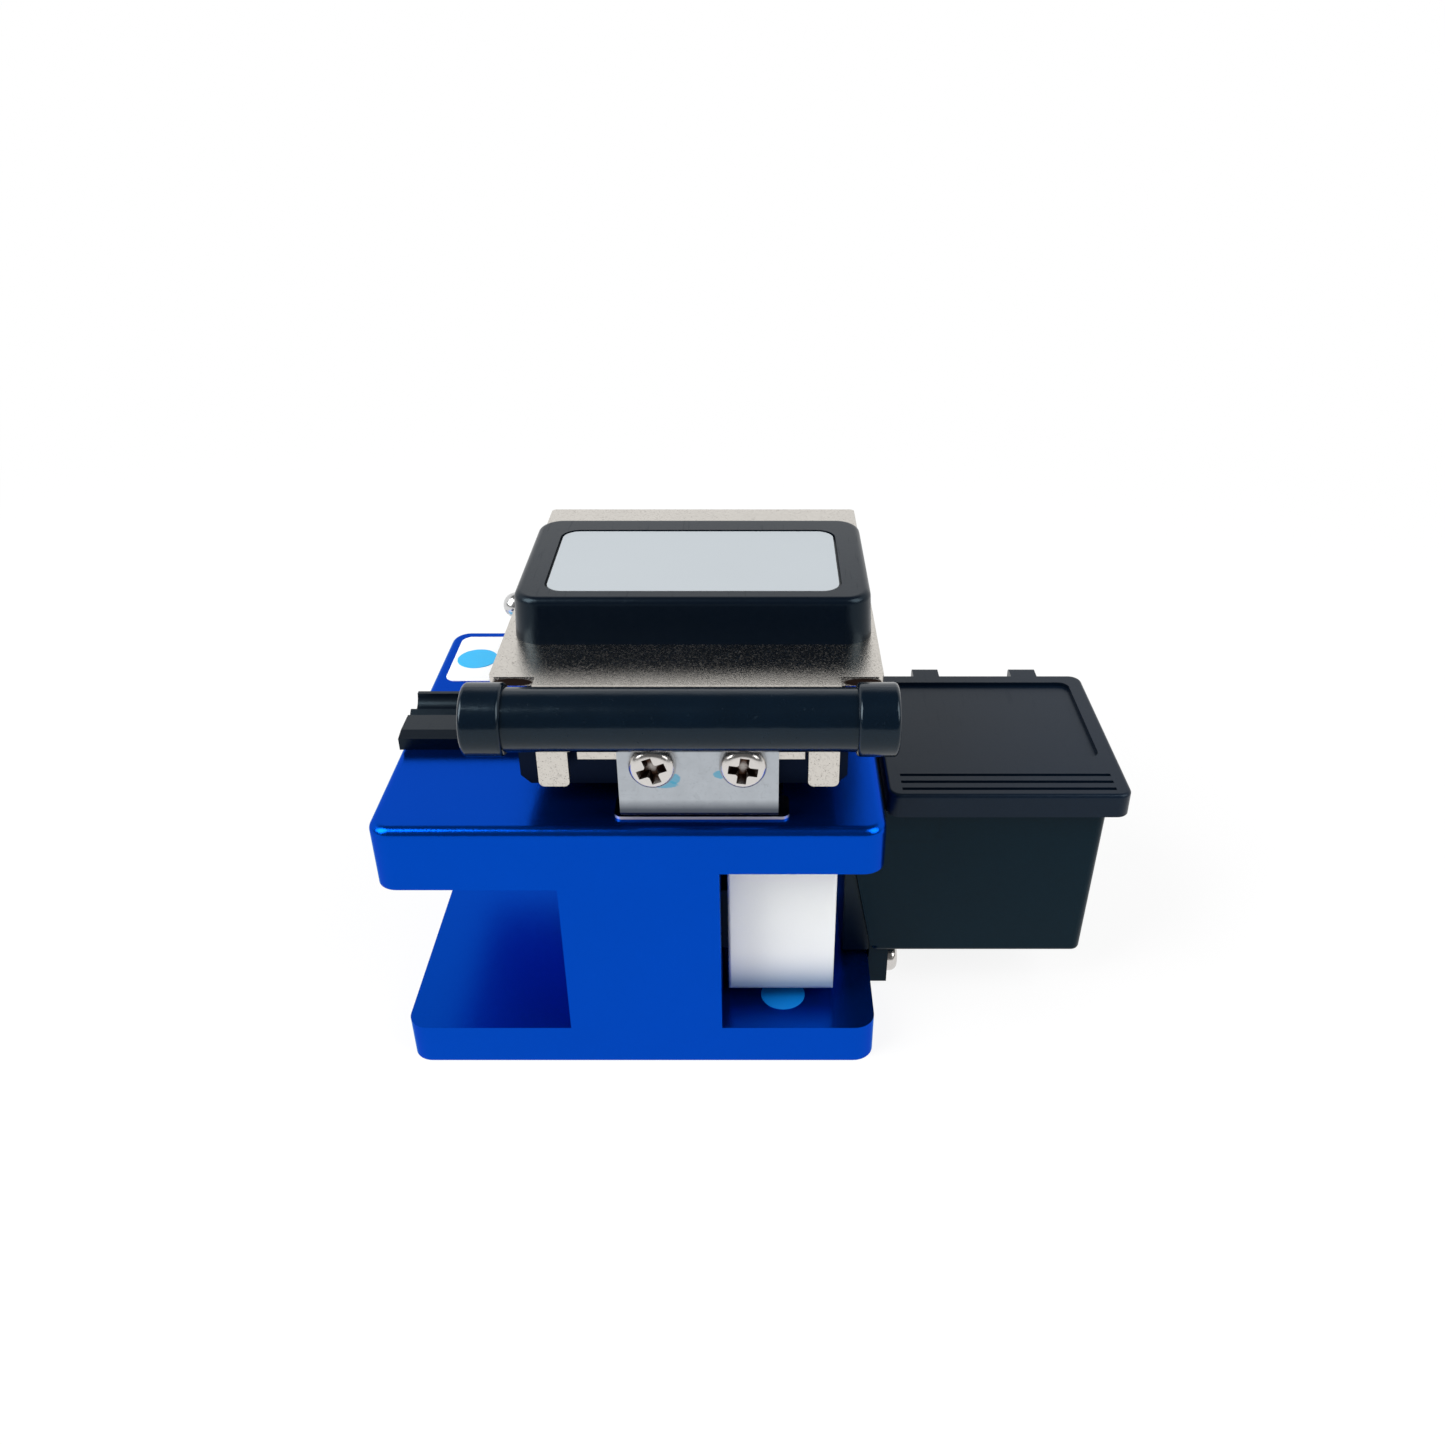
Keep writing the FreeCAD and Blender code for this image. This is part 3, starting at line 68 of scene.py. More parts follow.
def place_camera():
    data = bpy.data.cameras.new("bench_camera")
    data.lens = 30.86
    data.sensor_width = 36.0
    data.shift_x = -0.0237
    data.clip_start = 5 * MM
    camera = bpy.data.objects.new("bench_camera", data)
    camera.location = [v * MM for v in CAMERA_PLACE_MM]
    camera.rotation_euler = (math.radians(90 - LOOKS_DOWN_DEG), 0, 0)
    bpy.context.scene.collection.objects.link(camera)
    bpy.context.scene.camera = camera
    return camera


camera = place_camera()
print("camera at", [round(v, 4) for v in camera.location])

# %% [markdown]
# ## Shader maths as plain expressions
#
# A finish is a small sum of noises, masks and colours. Wiring Math nodes one by one hides
# that sum, so a class wraps a node's socket and lets `+`, `-` and `*` add the nodes. The
# reflected forms make `1 - mask` work too. Colours pass through Mix, and vectors through
# Vector Math, because a Math node would turn a colour into a grey number. The sky is a tree
# of nodes as well, so adding a node belongs to a plain Graph, and a Finish is a Graph that
# has a material and its main shader.

# %% A socket that can be added and multiplied
class Socket:
    """A node's output. A sum, difference or product of two is a new Math node's output."""

    def __init__(self, build, link):
        self.build = build
        self.link = link

    def _math(self, operation, first, second):
        return self.build.node("ShaderNodeMath", {"operation": operation}, {0: first, 1: second})

    def __add__(self, other):
        return self._math("ADD", self, other)

    def __radd__(self, other):
        return self._math("ADD", other, self)

    def __sub__(self, other):
        return self._math("SUBTRACT", self, other)

    def __rsub__(self, other):
        return self._math("SUBTRACT", other, self)

    def __mul__(self, other):
        return self._math("MULTIPLY", self, other)

    def __rmul__(self, other):
        return self._math("MULTIPLY", other, self)

    def clamp(self):
        return self.build.node("ShaderNodeClamp", {}, {"Value": self})


class Graph:
    """Adds nodes to a tree, each by its type, its settings and its inputs."""

    def __init__(self, tree):
        self.tree = tree

    def node(self, kind, settings, inputs, output=0):
        made = self.tree.nodes.new(kind)
        for key, value in settings.items():
            setattr(made, key, value)
        for key, value in inputs.items():
            if isinstance(value, Socket):
                self.tree.links.new(value.link, made.inputs[key])
            else:
                made.inputs[key].default_value = value
        return Socket(self, made.outputs[output]) if made.outputs else None


class Finish(Graph):
    """One material and its main shader; the constants are set on the shader's own sockets."""

    def __init__(self, name, **constants):
        self.material = bpy.data.materials.new(name)
        self.material.use_nodes = True
        super().__init__(self.material.node_tree)
        self.shader = self.tree.nodes["Principled BSDF"]
        for socket, value in constants.items():
            self.shader.inputs[socket.replace("_", " ")].default_value = value

    def feed(self, socket, value):
        self.tree.links.new(value.link, self.shader.inputs[socket])


print("socket maths ready")

# %% [markdown]
# ## Places and grains
#
# Every pattern below is laid out in millimetres on the piece itself, from Object
# coordinates, so that it stays put when a lever turns or a slider moves. Most metal here
# was blasted with fine beads before it was dyed or plated, which leaves small even pits.
# One noise for the pits and one slow noise for uneven handling serve nearly every finish.

# %% Patterns that all the finishes share
def where(finish, stretch=(1.0, 1.0, 1.0)):
    """The point on the piece, in millimetres, stretched along each axis."""
    coords = finish.node("ShaderNodeTexCoord", {}, {}, output="Object")
    scale = tuple(1000.0 * s for s in stretch)
    return finish.node("ShaderNodeVectorMath", {"operation": "MULTIPLY"}, {0: coords, 1: scale})


def noise(finish, point, scale, detail=2.0, roughness=0.5, distortion=0.0):
    return finish.node("ShaderNodeTexNoise", {"noise_dimensions": "3D"},
                       {"Vector": point, "Scale": scale, "Detail": detail,
                        "Roughness": roughness, "Distortion": distortion})


def band(graph, value, low, high, run="LINEAR"):
    """0 at low and 1 at high, whichever is larger, flat outside and a straight run between,
    or a soft one with run="SMOOTHSTEP"."""
    return graph.node("ShaderNodeMapRange", {"clamp": True, "interpolation_type": run},
                      {"Value": value, "From Min": low, "From Max": high,
                       "To Min": 0.0, "To Max": 1.0})


def heights(finish, point):
    """The height of the point above the bench, in millimetres."""
    return finish.node("ShaderNodeSeparateXYZ", {}, {0: point}, output="Z")


def length(finish, vector):
    return finish.node("ShaderNodeVectorMath", {"operation": "LENGTH"}, {0: vector},
                       output="Value")


def near(finish, point, centre, reach, ragged):
    """1 inside an ellipsoid round centre, 0 outside, with an edge made ragged by a noise."""
    scale = tuple(1.0 / r for r in reach)
    away = finish.node("ShaderNodeVectorMath", {"operation": "SUBTRACT"}, {0: point, 1: centre})
    away = finish.node("ShaderNodeVectorMath", {"operation": "MULTIPLY"}, {0: away, 1: scale})
    # Half a noise adds a quarter on average, so the edge runs close to a length of 1.
    return 1 - band(finish, length(finish, away) + ragged * 0.5, 1.12, 1.28)


def mix_colour(finish, factor, first, second):
    return finish.node("ShaderNodeMix", {"data_type": "RGBA"},
                       {0: factor, 6: first, 7: second}, output=2)


def bump(finish, height, depth_mm):
    normal = finish.node("ShaderNodeBump", {},
                         {"Height": height, "Strength": 1.0, "Distance": depth_mm * MM})
    finish.feed("Normal", normal)


def shade(finish, value, colour, low, high):
    """A colour that varies by a factor from low to high as value goes from 0 to 1."""
    dark = tuple(c * low for c in colour) + (1.0,)
    light = tuple(min(1.0, c * high) for c in colour) + (1.0,)
    return mix_colour(finish, value, dark, light)


print("patterns ready")

# %% [markdown]
# ## Blue anodised frame
#
# The frame is one milled block, blasted and then dyed deep blue, so it is a metal whose
# highlights are blue too. A clear coat over blue paint would give white highlights, which
# is wrong for dye inside the oxide. Most of the reflection is therefore metallic, with a
# little plain blue beneath it for the matt pits, and a pitted bump that makes the rounded
# edges sparkle. Two places are darker than this light alone would leave them, and their
# tones are painted in the material: the base behind the slider and the slider's lower end.

# %% Dyed and blasted aluminium
def blasted(name, colour, metal, rough, pit_mm, pit_depth, uneven=0.06, tint=(1, 1, 1),
            gloss=0.5, painted_low_shade=None, painted_shades=()):
    """Metal blasted with beads. pit_mm is one pit's width, tint colours the grazing gloss,
    the low shade = (colour, z where it is full, z where it ends) paints shade on a lower
    end, and the last list gives the centre and reach of places with painted shade."""
    finish = Finish(name, Metallic=metal, Specular_Tint=tint + (1,), Specular_IOR_Level=gloss)
    point = where(finish)
    pits = noise(finish, point, 1.0 / pit_mm, detail=3.0, roughness=0.6)
    slow = noise(finish, point, 0.09, detail=3.0, roughness=0.55)
    tone = shade(finish, slow * 0.6 + pits * 0.4, colour, 1 - uneven, 1 + uneven)
    # Painted shade: the lower end is darkened towards the given colour.
    if painted_low_shade:
        shaded, full, end = painted_low_shade
        low_end = 1 - band(finish, heights(finish, point), full, end)
        tone = mix_colour(finish, low_end * low_end, tone, shaded + (1,))
    # Painted shade: each listed place is darkened towards a third of the colour.
    for centre, reach in painted_shades:
        film = tuple(c * 0.3 for c in colour) + (1,)
        tone = mix_colour(finish, near(finish, point, centre, reach, slow) * 0.75, tone, film)
    finish.feed("Base Color", tone)
    finish.feed("Roughness", (rough - 0.06) + pits * 0.08 + slow * 0.05)
    bump(finish, pits, pit_depth)
    return finish.material


BASE_TOP = 6.0
# The base behind the slider gets painted shade, darker than the light alone leaves it.
shade_behind_slider = ((22.5, 6.0, BASE_TOP), (11.5, 25.0, 1.5))
blue_anodised = blasted("blue_anodised", (0.0, 0.058, 0.465), 0.94, 0.22, 0.22, 0.014,
                        tint=(0.2, 0.5, 0.9), painted_shades=[shade_behind_slider])
# The slider block's lower end gets painted shade, darker towards the bottom.
silver_anodised = blasted("silver_anodised", (0.765, 0.78, 0.775), 0.25, 0.5, 0.3, 0.012,
                          uneven=0.04, painted_low_shade=((0.22, 0.30, 0.39), 9.4, 16.0))
dark_anodised = blasted("dark_anodised", (0.003, 0.006, 0.016), 0.6, 0.34, 0.22, 0.008,
                        tint=(0.3, 0.45, 0.8), gloss=0.2)
print("blasted finishes:", blue_anodised.name, silver_anodised.name, dark_anodised.name)

# %% [markdown]
# ## Plated sheet
#
# The lever is sheet steel under satin nickel. Close up it shows a dense speckle: small pits
# that are darker and rougher than the plate between them, so they read dark where the plate
# mirrors the sky and pale where it mirrors the black pad. The corners beside the nose were
# sheared and are stained brown. The bracket is zinc, bluer and cloudier, with a few
# hairlines, and smears of thread locker beside its screws. Its bend at the foot lies in
# shade, which is painted as a darker tone, and the keeper's front edge has a painted
# highlight, a paler and less metallic tone on the faces turned to the user. A small image
# could carry such marks, but masks in the shader stay sharp at any distance.

# %% Nickel and zinc on sheet steel
def nickel_finish(sheared=()):
    finish = Finish("nickel_sheet", Metallic=1.0)
    point = where(finish)
    speckle = noise(finish, point, 4.5, detail=4.0, roughness=0.8)
    slow = noise(finish, point, 0.12, detail=2.0)
    dots = band(finish, speckle, 0.54, 0.64)
    tone = shade(finish, slow, (0.62, 0.59, 0.545), 0.94, 1.06)
    tone = mix_colour(finish, dots * 0.45, tone, (0.16, 0.145, 0.13, 1))
    rough = 0.13 + dots * 0.36 + slow * 0.05
    for centre, reach in sheared:
        mask = near(finish, point, centre, reach, speckle)
        tone = mix_colour(finish, mask, tone, (0.035, 0.022, 0.018, 1))
        rough = rough + mask * 0.4
    finish.feed("Base Color", tone)
    finish.feed("Roughness", rough)
    bump(finish, speckle, 0.02)
    return finish.material


def zinc_finish(name, smears=(), rough=0.3, bend=None, painted_edge_highlight=False):
    """bend = (z where its painted dark tone is full, z where it ends) paints shade on the
    foot's bend, and the pale edge flag paints a highlight on the faces turned to the user."""
    finish = Finish(name, Metallic=1.0)
    point = where(finish)
    cloud = noise(finish, point, 0.5, detail=5.0, roughness=0.65)
    grain = noise(finish, point, 5.0, detail=3.0, roughness=0.6)
    creases = noise(finish, point, 0.6, detail=4.0, distortion=1.5)
    from_crease = finish.node("ShaderNodeMath", {"operation": "ABSOLUTE"}, {0: creases - 0.5})
    hairline = 1 - band(finish, from_crease, 0.0, 0.006)
    tone = shade(finish, cloud, (0.43, 0.46, 0.495), 0.86, 1.12)
    tone = mix_colour(finish, hairline * 0.35, tone, (0.16, 0.17, 0.18, 1))
    for centre, reach in smears:
        mask = near(finish, point, centre, reach, grain)
        tone = mix_colour(finish, mask * 0.75, tone, (0.07, 0.34, 0.50, 1))
    # Painted shade: the bend at the foot is darkened towards the bottom.
    if bend:
        low_end = 1 - band(finish, heights(finish, point), *bend)
        tone = mix_colour(finish, low_end * 0.9, tone, (0.05, 0.06, 0.08, 1))
    # Painted highlight: faces turned to the user are paler and less metallic.
    if painted_edge_highlight:
        facing = finish.node("ShaderNodeTexCoord", {}, {}, output="Normal")
        toward = finish.node("ShaderNodeSeparateXYZ", {}, {0: facing}, output="Y")
        edge = 1 - band(finish, toward, -0.95, -0.2)
        tone = mix_colour(finish, edge, tone, (0.74, 0.69, 0.64, 1))
        finish.feed("Metallic", 1 - edge * 0.75)
    finish.feed("Base Color", tone)
    finish.feed("Roughness", (rough - 0.05) + grain * 0.12 + hairline * 0.1)
    bump(finish, grain + hairline * -0.6, 0.008)
    return finish.material


PLATE_FRONT = -20.15
plate_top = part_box("lever_plate")[1].z / MM
beside_nose = [((x, PLATE_FRONT, plate_top - 0.7), (2.5, 0.3, 0.55)) for x in (-13.4, 28.1)]
nickel_sheet = nickel_finish(beside_nose)
zinc_sheet = zinc_finish("zinc_sheet")
print("plated finishes:", nickel_sheet.name, zinc_sheet.name)

# %% [markdown]
# ## Bright steel
#
# Screws, the hinge rod, the blade and the springs are bare or bright plated. Turned and
# drawn parts carry very fine lines along their length, and screw heads carry the polish of
# the barrel that plated them. One recipe with its own brightness and roughness fits all.

# %% Bright metals
def bright(name, colour, rough, line=None, grime_and_shade=None):
    """line stretches the grain, None leaves it even, and the last colour is painted into the
    hollows: brown dirt there, deepened by painted shade.
    """
    finish = Finish(name, Metallic=1.0)
    point = where(finish, line or (1.0, 1.0, 1.0))
    grain = noise(finish, point, 4.0, detail=4.0, roughness=0.65)
    slow = noise(finish, where(finish), 0.5, detail=2.0)
    tone = shade(finish, grain * 0.5 + slow * 0.5, colour, 0.88, 1.06)
    roughness = (rough - 0.05) + grain * 0.12 + slow * 0.04
    if grime_and_shade:
        # Brown dirt and painted shade: hollows that the sky can't reach are darkened.
        open_sky = finish.node("ShaderNodeAmbientOcclusion", {"only_local": True, "samples": 8},
                               {"Distance": 1.2 * MM}, output="AO")
        hollow = 1 - band(finish, open_sky, 0.62, 0.98)
        tone = mix_colour(finish, hollow, tone, grime_and_shade + (1,))
        roughness = roughness + hollow * 0.2
    finish.feed("Base Color", tone)
    finish.feed("Roughness", roughness)
    bump(finish, grain, 0.003)
    return finish.material


polished_steel = bright("polished_steel", (0.62, 0.62, 0.62), 0.2, (0.15, 1.0, 1.0))
# The screw heads' recesses get brown dirt and painted shade.
screw_steel = bright("screw_steel", (0.66, 0.635, 0.61), 0.2, grime_and_shade=(0.05, 0.024, 0.015))
spring_steel = bright("spring_steel", (0.46, 0.46, 0.47), 0.3)
blade_steel = bright("blade_steel", (0.70, 0.70, 0.72), 0.12, (1.0, 0.5, 0.5))
magnet_nickel = bright("magnet_nickel", (0.62, 0.60, 0.57), 0.22)
print("bright finishes ready")

# %% [markdown]
# ## Label plate
#
# A thin plate of fine satin aluminium sits in the pad's shallow seat. It is left bare. Its
# surface is nearly even, with a very fine directional grain, so it reads as one soft pale
# panel against the black moulding.

# %% Satin label
def label_finish():
    finish = Finish("label_metal", Metallic=0.5)
    grain = noise(finish, where(finish, (0.25, 3.0, 1.0)), 3.0, detail=3.0)
    slow = noise(finish, where(finish), 0.06, detail=2.0)
    tone = shade(finish, slow * 0.7 + grain * 0.3, (0.46, 0.50, 0.53), 0.96, 1.04)
    finish.feed("Base Color", tone)
    finish.feed("Roughness", 0.42 + grain * 0.08)
    bump(finish, grain, 0.0015)
    return finish.material


label_metal = label_finish()
print("label:", label_metal.name)

# %% [markdown]
# ## Black mouldings and sleeve
#
# Five blacks meet on this tool. The press pad and the adapter have a fine spark-eroded
# grain, the off-cut box is smoother and slightly blue, its lid has a gloss of its own, the
# handle is covered by a glossy shrunk-on sleeve, and the clamp pads are dull rubber. A pure
# black would hide every edge, so each base colour stays a little above it, and the gloss,
# tinted a cool blue, does the drawing.

# %% Black plastics and rubber
COOL_GLOSS = (0.6, 0.85, 1.0, 1)


def moulded(name, colour, rough, grain_mm, depth, scuff=0.0, **constants):
    """Moulded plastic or rubber. scuff is how much rougher its long faint scratches are."""
    finish = Finish(name, **constants)
    point = where(finish)
    grain = noise(finish, point, 1.0 / grain_mm, detail=3.0, roughness=0.6)
    slow = noise(finish, point, 0.15, detail=3.0)
    finish.feed("Base Color", shade(finish, grain * 0.5 + slow * 0.5, colour, 0.8, 1.25))
    streaks = noise(finish, where(finish, (1.0, 0.06, 1.0)), 2.5, detail=2.0)
    scratch = band(finish, streaks, 0.62, 0.70)
    finish.feed("Roughness", (rough - 0.05) + grain * 0.1 + scratch * scuff)
    bump(finish, grain, depth)
    return finish.material


def sleeve_finish():
    """Glossy sleeve with soft wrinkles all over it and a few duller specks of dust."""
    finish = Finish("glossy_sleeve", Coat_Roughness=0.08, Specular_IOR_Level=0.24,
                    Specular_Tint=COOL_GLOSS)
    point = where(finish)
    slow = noise(finish, point, 0.2, detail=2.0)
    wrinkle = noise(finish, where(finish, (0.5, 1.0, 1.0)), 0.45, detail=3.0, roughness=0.6)
    dust = band(finish, noise(finish, point, 1.6, detail=4.0, roughness=0.7), 0.64, 0.72)
    finish.feed("Base Color", shade(finish, slow, (0.001, 0.004, 0.009), 0.8, 1.3))
    finish.feed("Roughness", 0.16 + wrinkle * 0.08 + dust * 0.25)
    finish.feed("Coat Weight", 0.16 - dust * 0.12)
    bump(finish, wrinkle, 0.05)
    return finish.material


black_moulding = moulded("black_moulding", (0.0004, 0.002, 0.006), 0.30, 0.30, 0.006,
                         scuff=0.08, Specular_IOR_Level=0.25, Specular_Tint=COOL_GLOSS)
black_plastic = moulded("black_plastic", (0.0005, 0.007, 0.013), 0.32, 0.45, 0.004,
                        scuff=0.06, Specular_IOR_Level=0.12, Specular_Tint=COOL_GLOSS)
glossy_sleeve = sleeve_finish()
pad_rubber = moulded("pad_rubber", (0.03, 0.03, 0.032), 0.75, 0.4, 0.01)
print("blacks ready")

# %% [markdown]
# ## Each node takes its finish
#
# The record names one material slot per node. Assigning by slot, instead of by hand for
# each of the 41 nodes, keeps the scene and the record in step. Three nodes differ: the
# bracket's zinc has the smears of thread locker and painted shade at its bend, the keeper's
# is smoother with a painted highlight on its front edge, and the box's lid has a little more
# gloss than the box.

# %% Assign the finishes
finishes = {
    "blue_anodised": blue_anodised, "silver_anodised": silver_anodised,
    "dark_anodised": dark_anodised, "nickel_sheet": nickel_sheet, "zinc_sheet": zinc_sheet,
    "polished_steel": polished_steel, "screw_steel": screw_steel, "spring_steel": spring_steel,
    "blade_steel": blade_steel, "magnet_nickel": magnet_nickel, "label_metal": label_metal,
    "black_moulding": black_moulding, "black_plastic": black_plastic,
    "glossy_sleeve": glossy_sleeve, "pad_rubber": pad_rubber,
}


def dress(piece, material):
    """Give a node one material on all its faces."""
    if not piece.material_slots:
        piece.data.materials.append(material)
    for slot in piece.material_slots:
        slot.material = material


for part in frame["record"]["subparts"]:
    dress(nodes[part["node"]], finishes[part["material_slot"]])

bracket_low, bracket_high = (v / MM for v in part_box("catch_bracket"))
face_y = bracket_low.y
print("bracket front at y", round(face_y, 2), "mm, top at z", round(bracket_high.z, 2), "mm")
smears = [
    ((4.5, face_y, 44.6), (1.7, 1.5, 0.55)),
    ((5.7, face_y, 45.4), (0.75, 1.5, 0.75)),
    ((11.2, face_y, 46.0), (0.9, 1.5, 0.6)),
]
# The bracket's bend at the foot gets painted shade.
bend = (bracket_low.z + 1.3, bracket_low.z + 2.8)
dress(nodes["catch_bracket"], zinc_finish("zinc_sheet_smeared_painted_bend_shade", smears, bend=bend))
# The keeper's front edge gets a painted highlight.
dress(nodes["keeper_plate"], zinc_finish("zinc_sheet_smooth_painted_highlight", rough=0.14, painted_edge_highlight=True))
black_lid = moulded("black_lid", (0.002, 0.006, 0.014), 0.32, 0.45, 0.004, scuff=0.06,
                    Specular_IOR_Level=0.2, Specular_Tint=(0.67, 0.85, 1.0, 1))
dress(nodes["collector_lid"], black_lid)

# %% [markdown]
# ## Smooth shading on the round pieces
#
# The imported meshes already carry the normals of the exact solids, so cylinders and fillets
# render smooth and their edges stay crisp. Nothing needs to be done to them here.

# %% Check the normals
smooth = sum(1 for piece in nodes.values() if piece.data.has_custom_normals)
print("nodes with their own normals:", smooth, "of", len(nodes))

# %% [markdown]
# ## Stickers
#
# Two small round vinyl stickers mark the tool: one lies on a white rounded patch at the
# rear left of the platform, the other on the base, in front of the slider. They are left
# plain. Each could be painted in the frame's shader, but a sticker has a real thickness
# whose edge catches the light, so each is a thin disc with a softened rim, made by
# drawing its outline, extruding it and bevelling the top edge.

# %% Stickers
import bmesh


def rounded_outline(x0, x1, y0, y1, radius, steps=8):
    """Corner points of a rounded rectangle, counter-clockwise, in millimetres."""
    centres = [(x1 - radius, y1 - radius, 0), (x0 + radius, y1 - radius, 90),
               (x0 + radius, y0 + radius, 180), (x1 - radius, y0 + radius, 270)]
    points = []
    for cx, cy, start in centres:
        for i in range(steps + 1):
            angle = math.radians(start + 90 * i / steps)
            points.append((cx + radius * math.cos(angle), cy + radius * math.sin(angle)))
    return points


def round_outline(cx, cy, radius, steps=64):
    """Corner points of a circle, counter-clockwise, in millimetres."""
    turns = [2 * math.pi * i / steps for i in range(steps)]
    return [(cx + radius * math.cos(a), cy + radius * math.sin(a)) for a in turns]


def plate(name, outline, start, thickness, material, body, soft=None, along_y=False):
    """A sheet with this outline, in millimetres, raised from z = start, or from y = start
    when the outline is drawn in x and z. Its far rim is rounded off by nearly half its
    thickness, or all its edges are by soft millimetres."""
    mesh = bpy.data.meshes.new(name)
    build = bmesh.new()
    places = [(u, start, v) if along_y else (u, v, start) for u, v in outline]
    ring = [build.verts.new([c * MM for c in place]) for place in places]
    base = build.faces.new(ring)
    raised = bmesh.ops.extrude_face_region(build, geom=[base])
    far = [v for v in raised["geom"] if isinstance(v, bmesh.types.BMVert)]
    rise = (0, thickness * MM, 0) if along_y else (0, 0, thickness * MM)
    bmesh.ops.translate(build, verts=far, vec=rise)
    rim = [e for e in build.edges
           if all(v in far for v in e.verts) or (soft and not e.is_boundary)]
    rounded = (soft or thickness * 0.45) * MM
    bmesh.ops.bevel(build, geom=rim, offset=rounded, segments=2, affect="EDGES")
    bmesh.ops.recalc_face_normals(build, faces=build.faces)
    build.to_mesh(mesh)
    build.free()
    piece = bpy.data.objects.new(name, mesh)
    bpy.context.scene.collection.objects.link(piece)
    mesh.materials.append(material)
    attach(piece, body)
    return piece


def vinyl(name, colour):
    """Printed film: even colour, a faint mottle and a soft gloss."""
    finish = Finish(name)
    point = where(finish)
    mottle = noise(finish, point, 1.4, detail=4.0, roughness=0.6)
    slow = noise(finish, point, 0.25, detail=2.0)
    finish.feed("Base Color", shade(finish, mottle * 0.4 + slow * 0.6, colour, 0.93, 1.05))
    finish.feed("Roughness", 0.35 + mottle * 0.12)
    bump(finish, mottle, 0.004)
    return finish.material


white_film = vinyl("white_film", (0.86, 0.87, 0.88))
cyan_film = vinyl("cyan_film", (0.0, 0.42, 0.80))
# The base disc's film is the cyan film painted darker: painted shadow from the slider.
cyan_film_painted_shade = vinyl("cyan_film_painted_shade", (0.0, 0.155, 0.50))
FILM_MM = 0.10
DISC_MM = 0.08
platform_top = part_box("body_frame")[1].z / MM
patch = plate("rear_patch", rounded_outline(-30.4, -20.5, 10.8, 25.0, 1.6), platform_top,
              FILM_MM, white_film, "frame")
rear_disc = plate("rear_disc", round_outline(-26.8, 17.6, 3.0), platform_top + FILM_MM,
                  DISC_MM, cyan_film, "frame")
base_disc = plate("base_disc", round_outline(19.12, -20.07, 3.04), BASE_TOP, FILM_MM,
                  cyan_film_painted_shade, "frame")
print("stickers:", patch.name, rear_disc.name, base_disc.name)

# %% [markdown]
# ## Skirt under the chute
#
# The off-cut box's mouth slopes in under the platform. A black skirt fills the wedge below
# the slope, where the view under the platform beside the slider is dark: it is partly a
# black wall seen there and partly a dark sheet put in for the shade, which also keeps light
# off the base behind it. The same plate maker builds it: the wedge is drawn in x and z,
# raised along y, and all of its edges are softened.

# %% Chute skirt
# The skirt is partly a dark sheet standing in for the shade under the platform.
wedge = [(27.7, 24.6), (27.7, 7.4), (31.55, 7.4), (31.55, 8.8), (28.42, 24.6)]
skirt = plate("chute_skirt", wedge, -12.6, 28.2, black_moulding, "frame", soft=0.15, along_y=True)
print("skirt:", skirt.name)

# %% [markdown]
# ## Bench
#
# The tool stands on a plain pale floor, whose own colour keeps the tool's shadow. Plain
# white is mixed in, but only for the camera and for mirror-like or see-through rays, and
# more of it away from the tool. It lifts the floor to the white of the surroundings without
# putting more light on the metal.

# %% Floor
WHITE = (1, 1, 1, 1)
WHITE_AT_TOOL = 0.88
FADE_MM = (90.0, 300.0)


def ray_is(graph, *kinds):
    """1 for rays of any of these kinds, by the names that Light Path gives them."""
    first, *rest = [graph.node("ShaderNodeLightPath", {}, {}, output=f"Is {kind} Ray")
                    for kind in kinds]
    return sum(rest, first).clamp()


def mix_shader(graph, factor, first, second):
    return graph.node("ShaderNodeMixShader", {}, {0: factor, 1: first, 2: second})


def floor_finish():
    finish = Finish("pale_floor", Base_Color=(0.82, 0.82, 0.82, 1), Roughness=0.9)
    far = band(finish, length(finish, where(finish)), *FADE_MM)
    share = far * (1 - WHITE_AT_TOOL) + WHITE_AT_TOOL
    seen = ray_is(finish, "Camera", "Glossy", "Transmission")
    plain = finish.node("ShaderNodeEmission", {}, {"Color": WHITE, "Strength": 1.0})
    own = Socket(finish, finish.shader.outputs[0])
    mixed = mix_shader(finish, seen * share, own, plain)
    surface = finish.tree.nodes["Material Output"].inputs["Surface"]
    finish.tree.links.new(mixed.link, surface)
    return finish.material


def floor_mesh(size=60.0):
    mesh = bpy.data.meshes.new("bench_floor")
    half = size / 2
    corners = [(-half, -half, 0), (half, -half, 0), (half, half, 0), (-half, half, 0)]
    mesh.from_pydata(corners, [], [(0, 1, 2, 3)])
    floor = bpy.data.objects.new("bench_floor", mesh)
    bpy.context.scene.collection.objects.link(floor)
    mesh.materials.append(floor_finish())
    return floor


floor = floor_mesh()
print("floor:", floor.name)

# %% [markdown]
# ## Sky and lamps
#
# The sky does most of the lighting. It is bright low at the back, which puts the sheen on
# every level face, and dim overhead and over the user, which lets the black pieces stay
# black. Two large soft lamps hang high at the sides, the key on the left and the fill on
# the right, and light the frame's rounded corners. An evenly white sky would be simpler,
# but it turns every black piece grey.

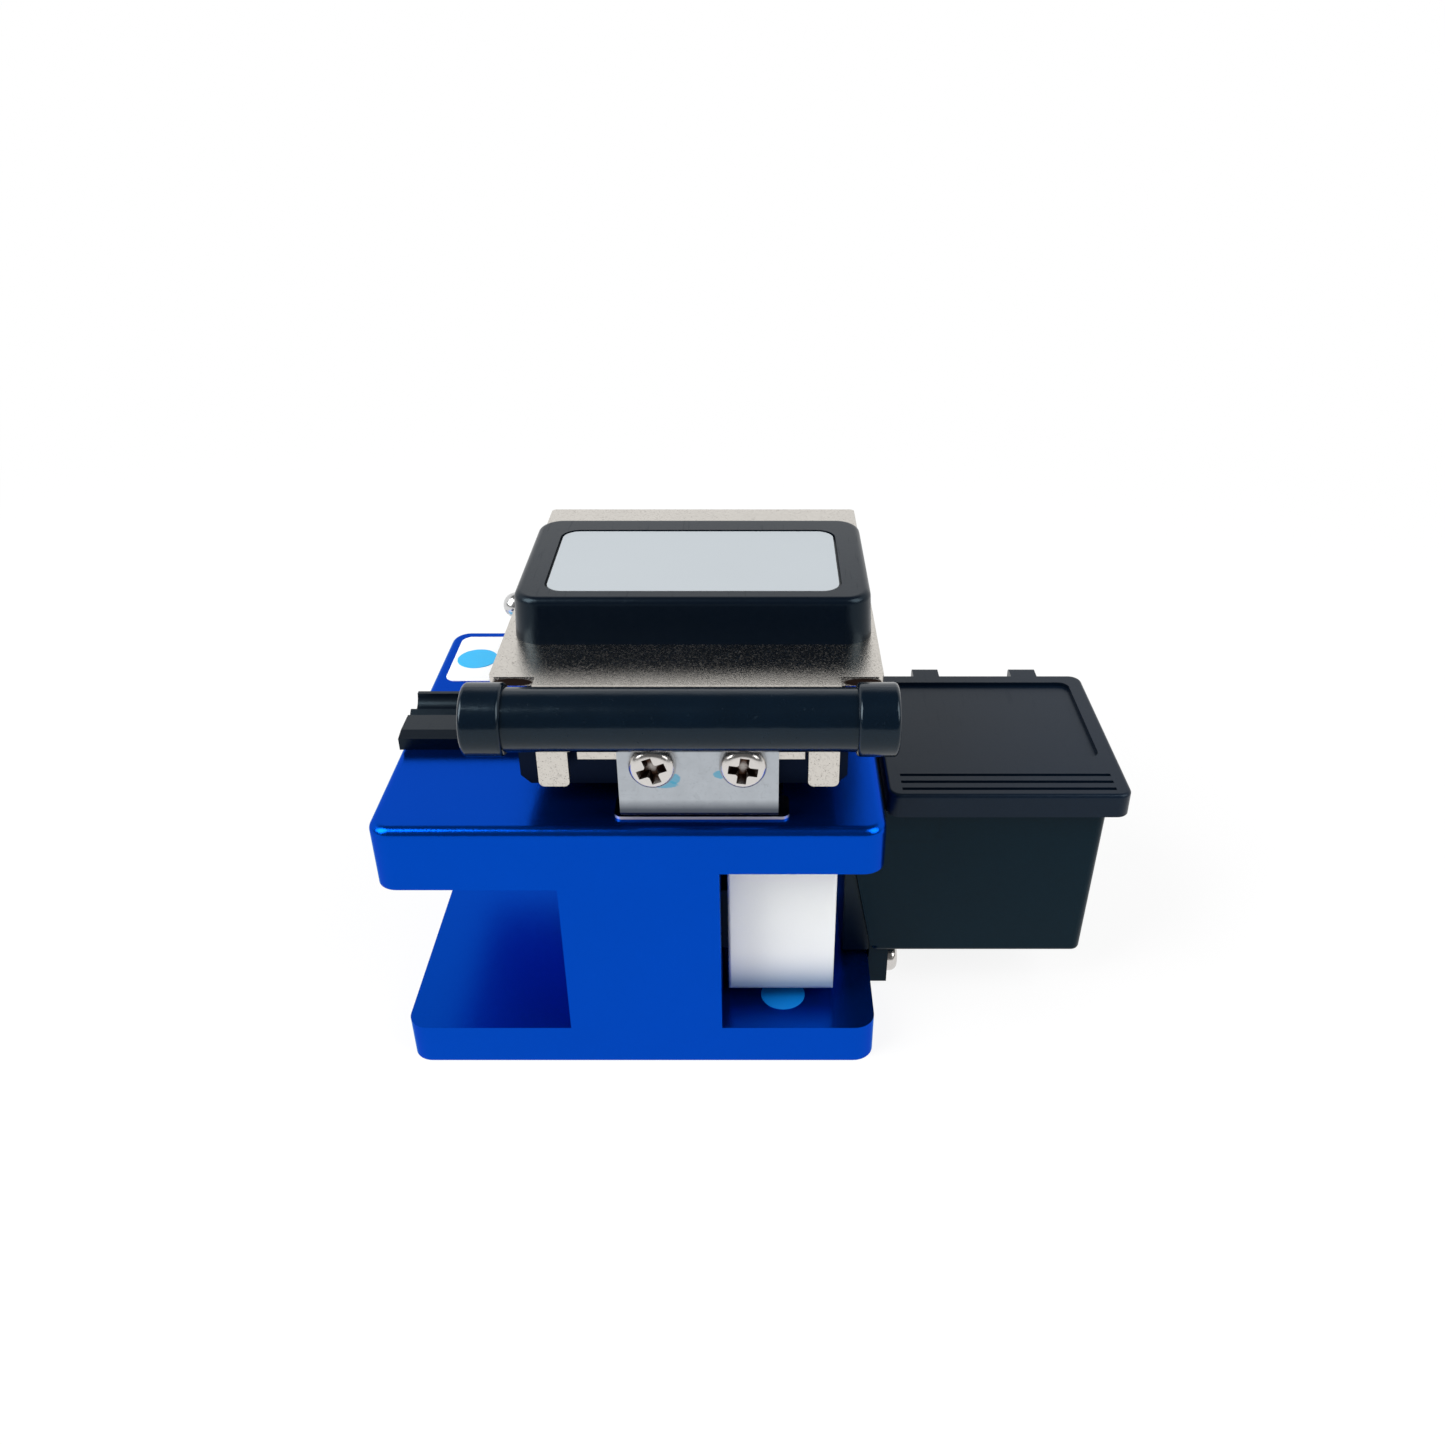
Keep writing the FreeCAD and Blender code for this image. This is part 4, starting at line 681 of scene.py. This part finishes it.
# %% Sky and lamps
def sky(near_side, far_side):
    """White to the eye, and in mirrors where the backdrop stands, low at the back; elsewhere
    it lights the tool from far_side behind down to near_side overhead and over the user."""
    world = bpy.data.worlds.new("studio_sky")
    bpy.context.scene.world = world
    world.use_nodes = True
    world.node_tree.nodes.clear()
    graph = Graph(world.node_tree)
    toward = graph.node("ShaderNodeTexCoord", {}, {}, output="Generated")
    up = graph.node("ShaderNodeSeparateXYZ", {}, {0: toward}, output="Z")
    away = graph.node("ShaderNodeSeparateXYZ", {}, {0: toward}, output="Y")
    low = band(graph, up, 0.86, 0.62, run="SMOOTHSTEP")
    back = band(graph, away, -0.25, 0.25, run="SMOOTHSTEP")
    both = low * back
    level = both * (far_side - near_side) + near_side
    lit = graph.node("ShaderNodeBackground", {}, {"Color": WHITE, "Strength": level})
    white = graph.node("ShaderNodeBackground", {}, {"Color": WHITE, "Strength": 1.0})
    mirrored = ray_is(graph, "Glossy", "Transmission") * band(graph, both, 0.7, 1.0)
    shown = (ray_is(graph, "Camera") + mirrored).clamp()
    mixed = mix_shader(graph, shown, lit, white)
    graph.node("ShaderNodeOutputWorld", {}, {"Surface": mixed})
    return world


def soft_lamp(name, place, target, size, watts):
    data = bpy.data.lights.new(name, "AREA")
    data.shape = "RECTANGLE"
    data.size, data.size_y = size
    data.energy = watts
    lamp = bpy.data.objects.new(name, data)
    lamp.location = place
    aim = Vector(target) - Vector(place)
    lamp.rotation_euler = aim.to_track_quat("-Z", "Y").to_euler()
    bpy.context.scene.collection.objects.link(lamp)
    return lamp


SKY_NEAR, SKY_FAR = 0.13, 0.95
MIDDLE = (0.01, 0.0, 0.03)
LAMP_SIZE = (0.5, 0.7)
studio_sky = sky(SKY_NEAR, SKY_FAR)
key = soft_lamp("key_lamp", (-0.55, -0.30, 0.60), MIDDLE, LAMP_SIZE, watts=10.0)
fill = soft_lamp("fill_lamp", (0.60, -0.32, 0.60), MIDDLE, LAMP_SIZE, watts=6.0)
bpy.context.scene.view_settings.view_transform = "Standard"
print("sky:", studio_sky.name, "lamps:", key.name, fill.name)
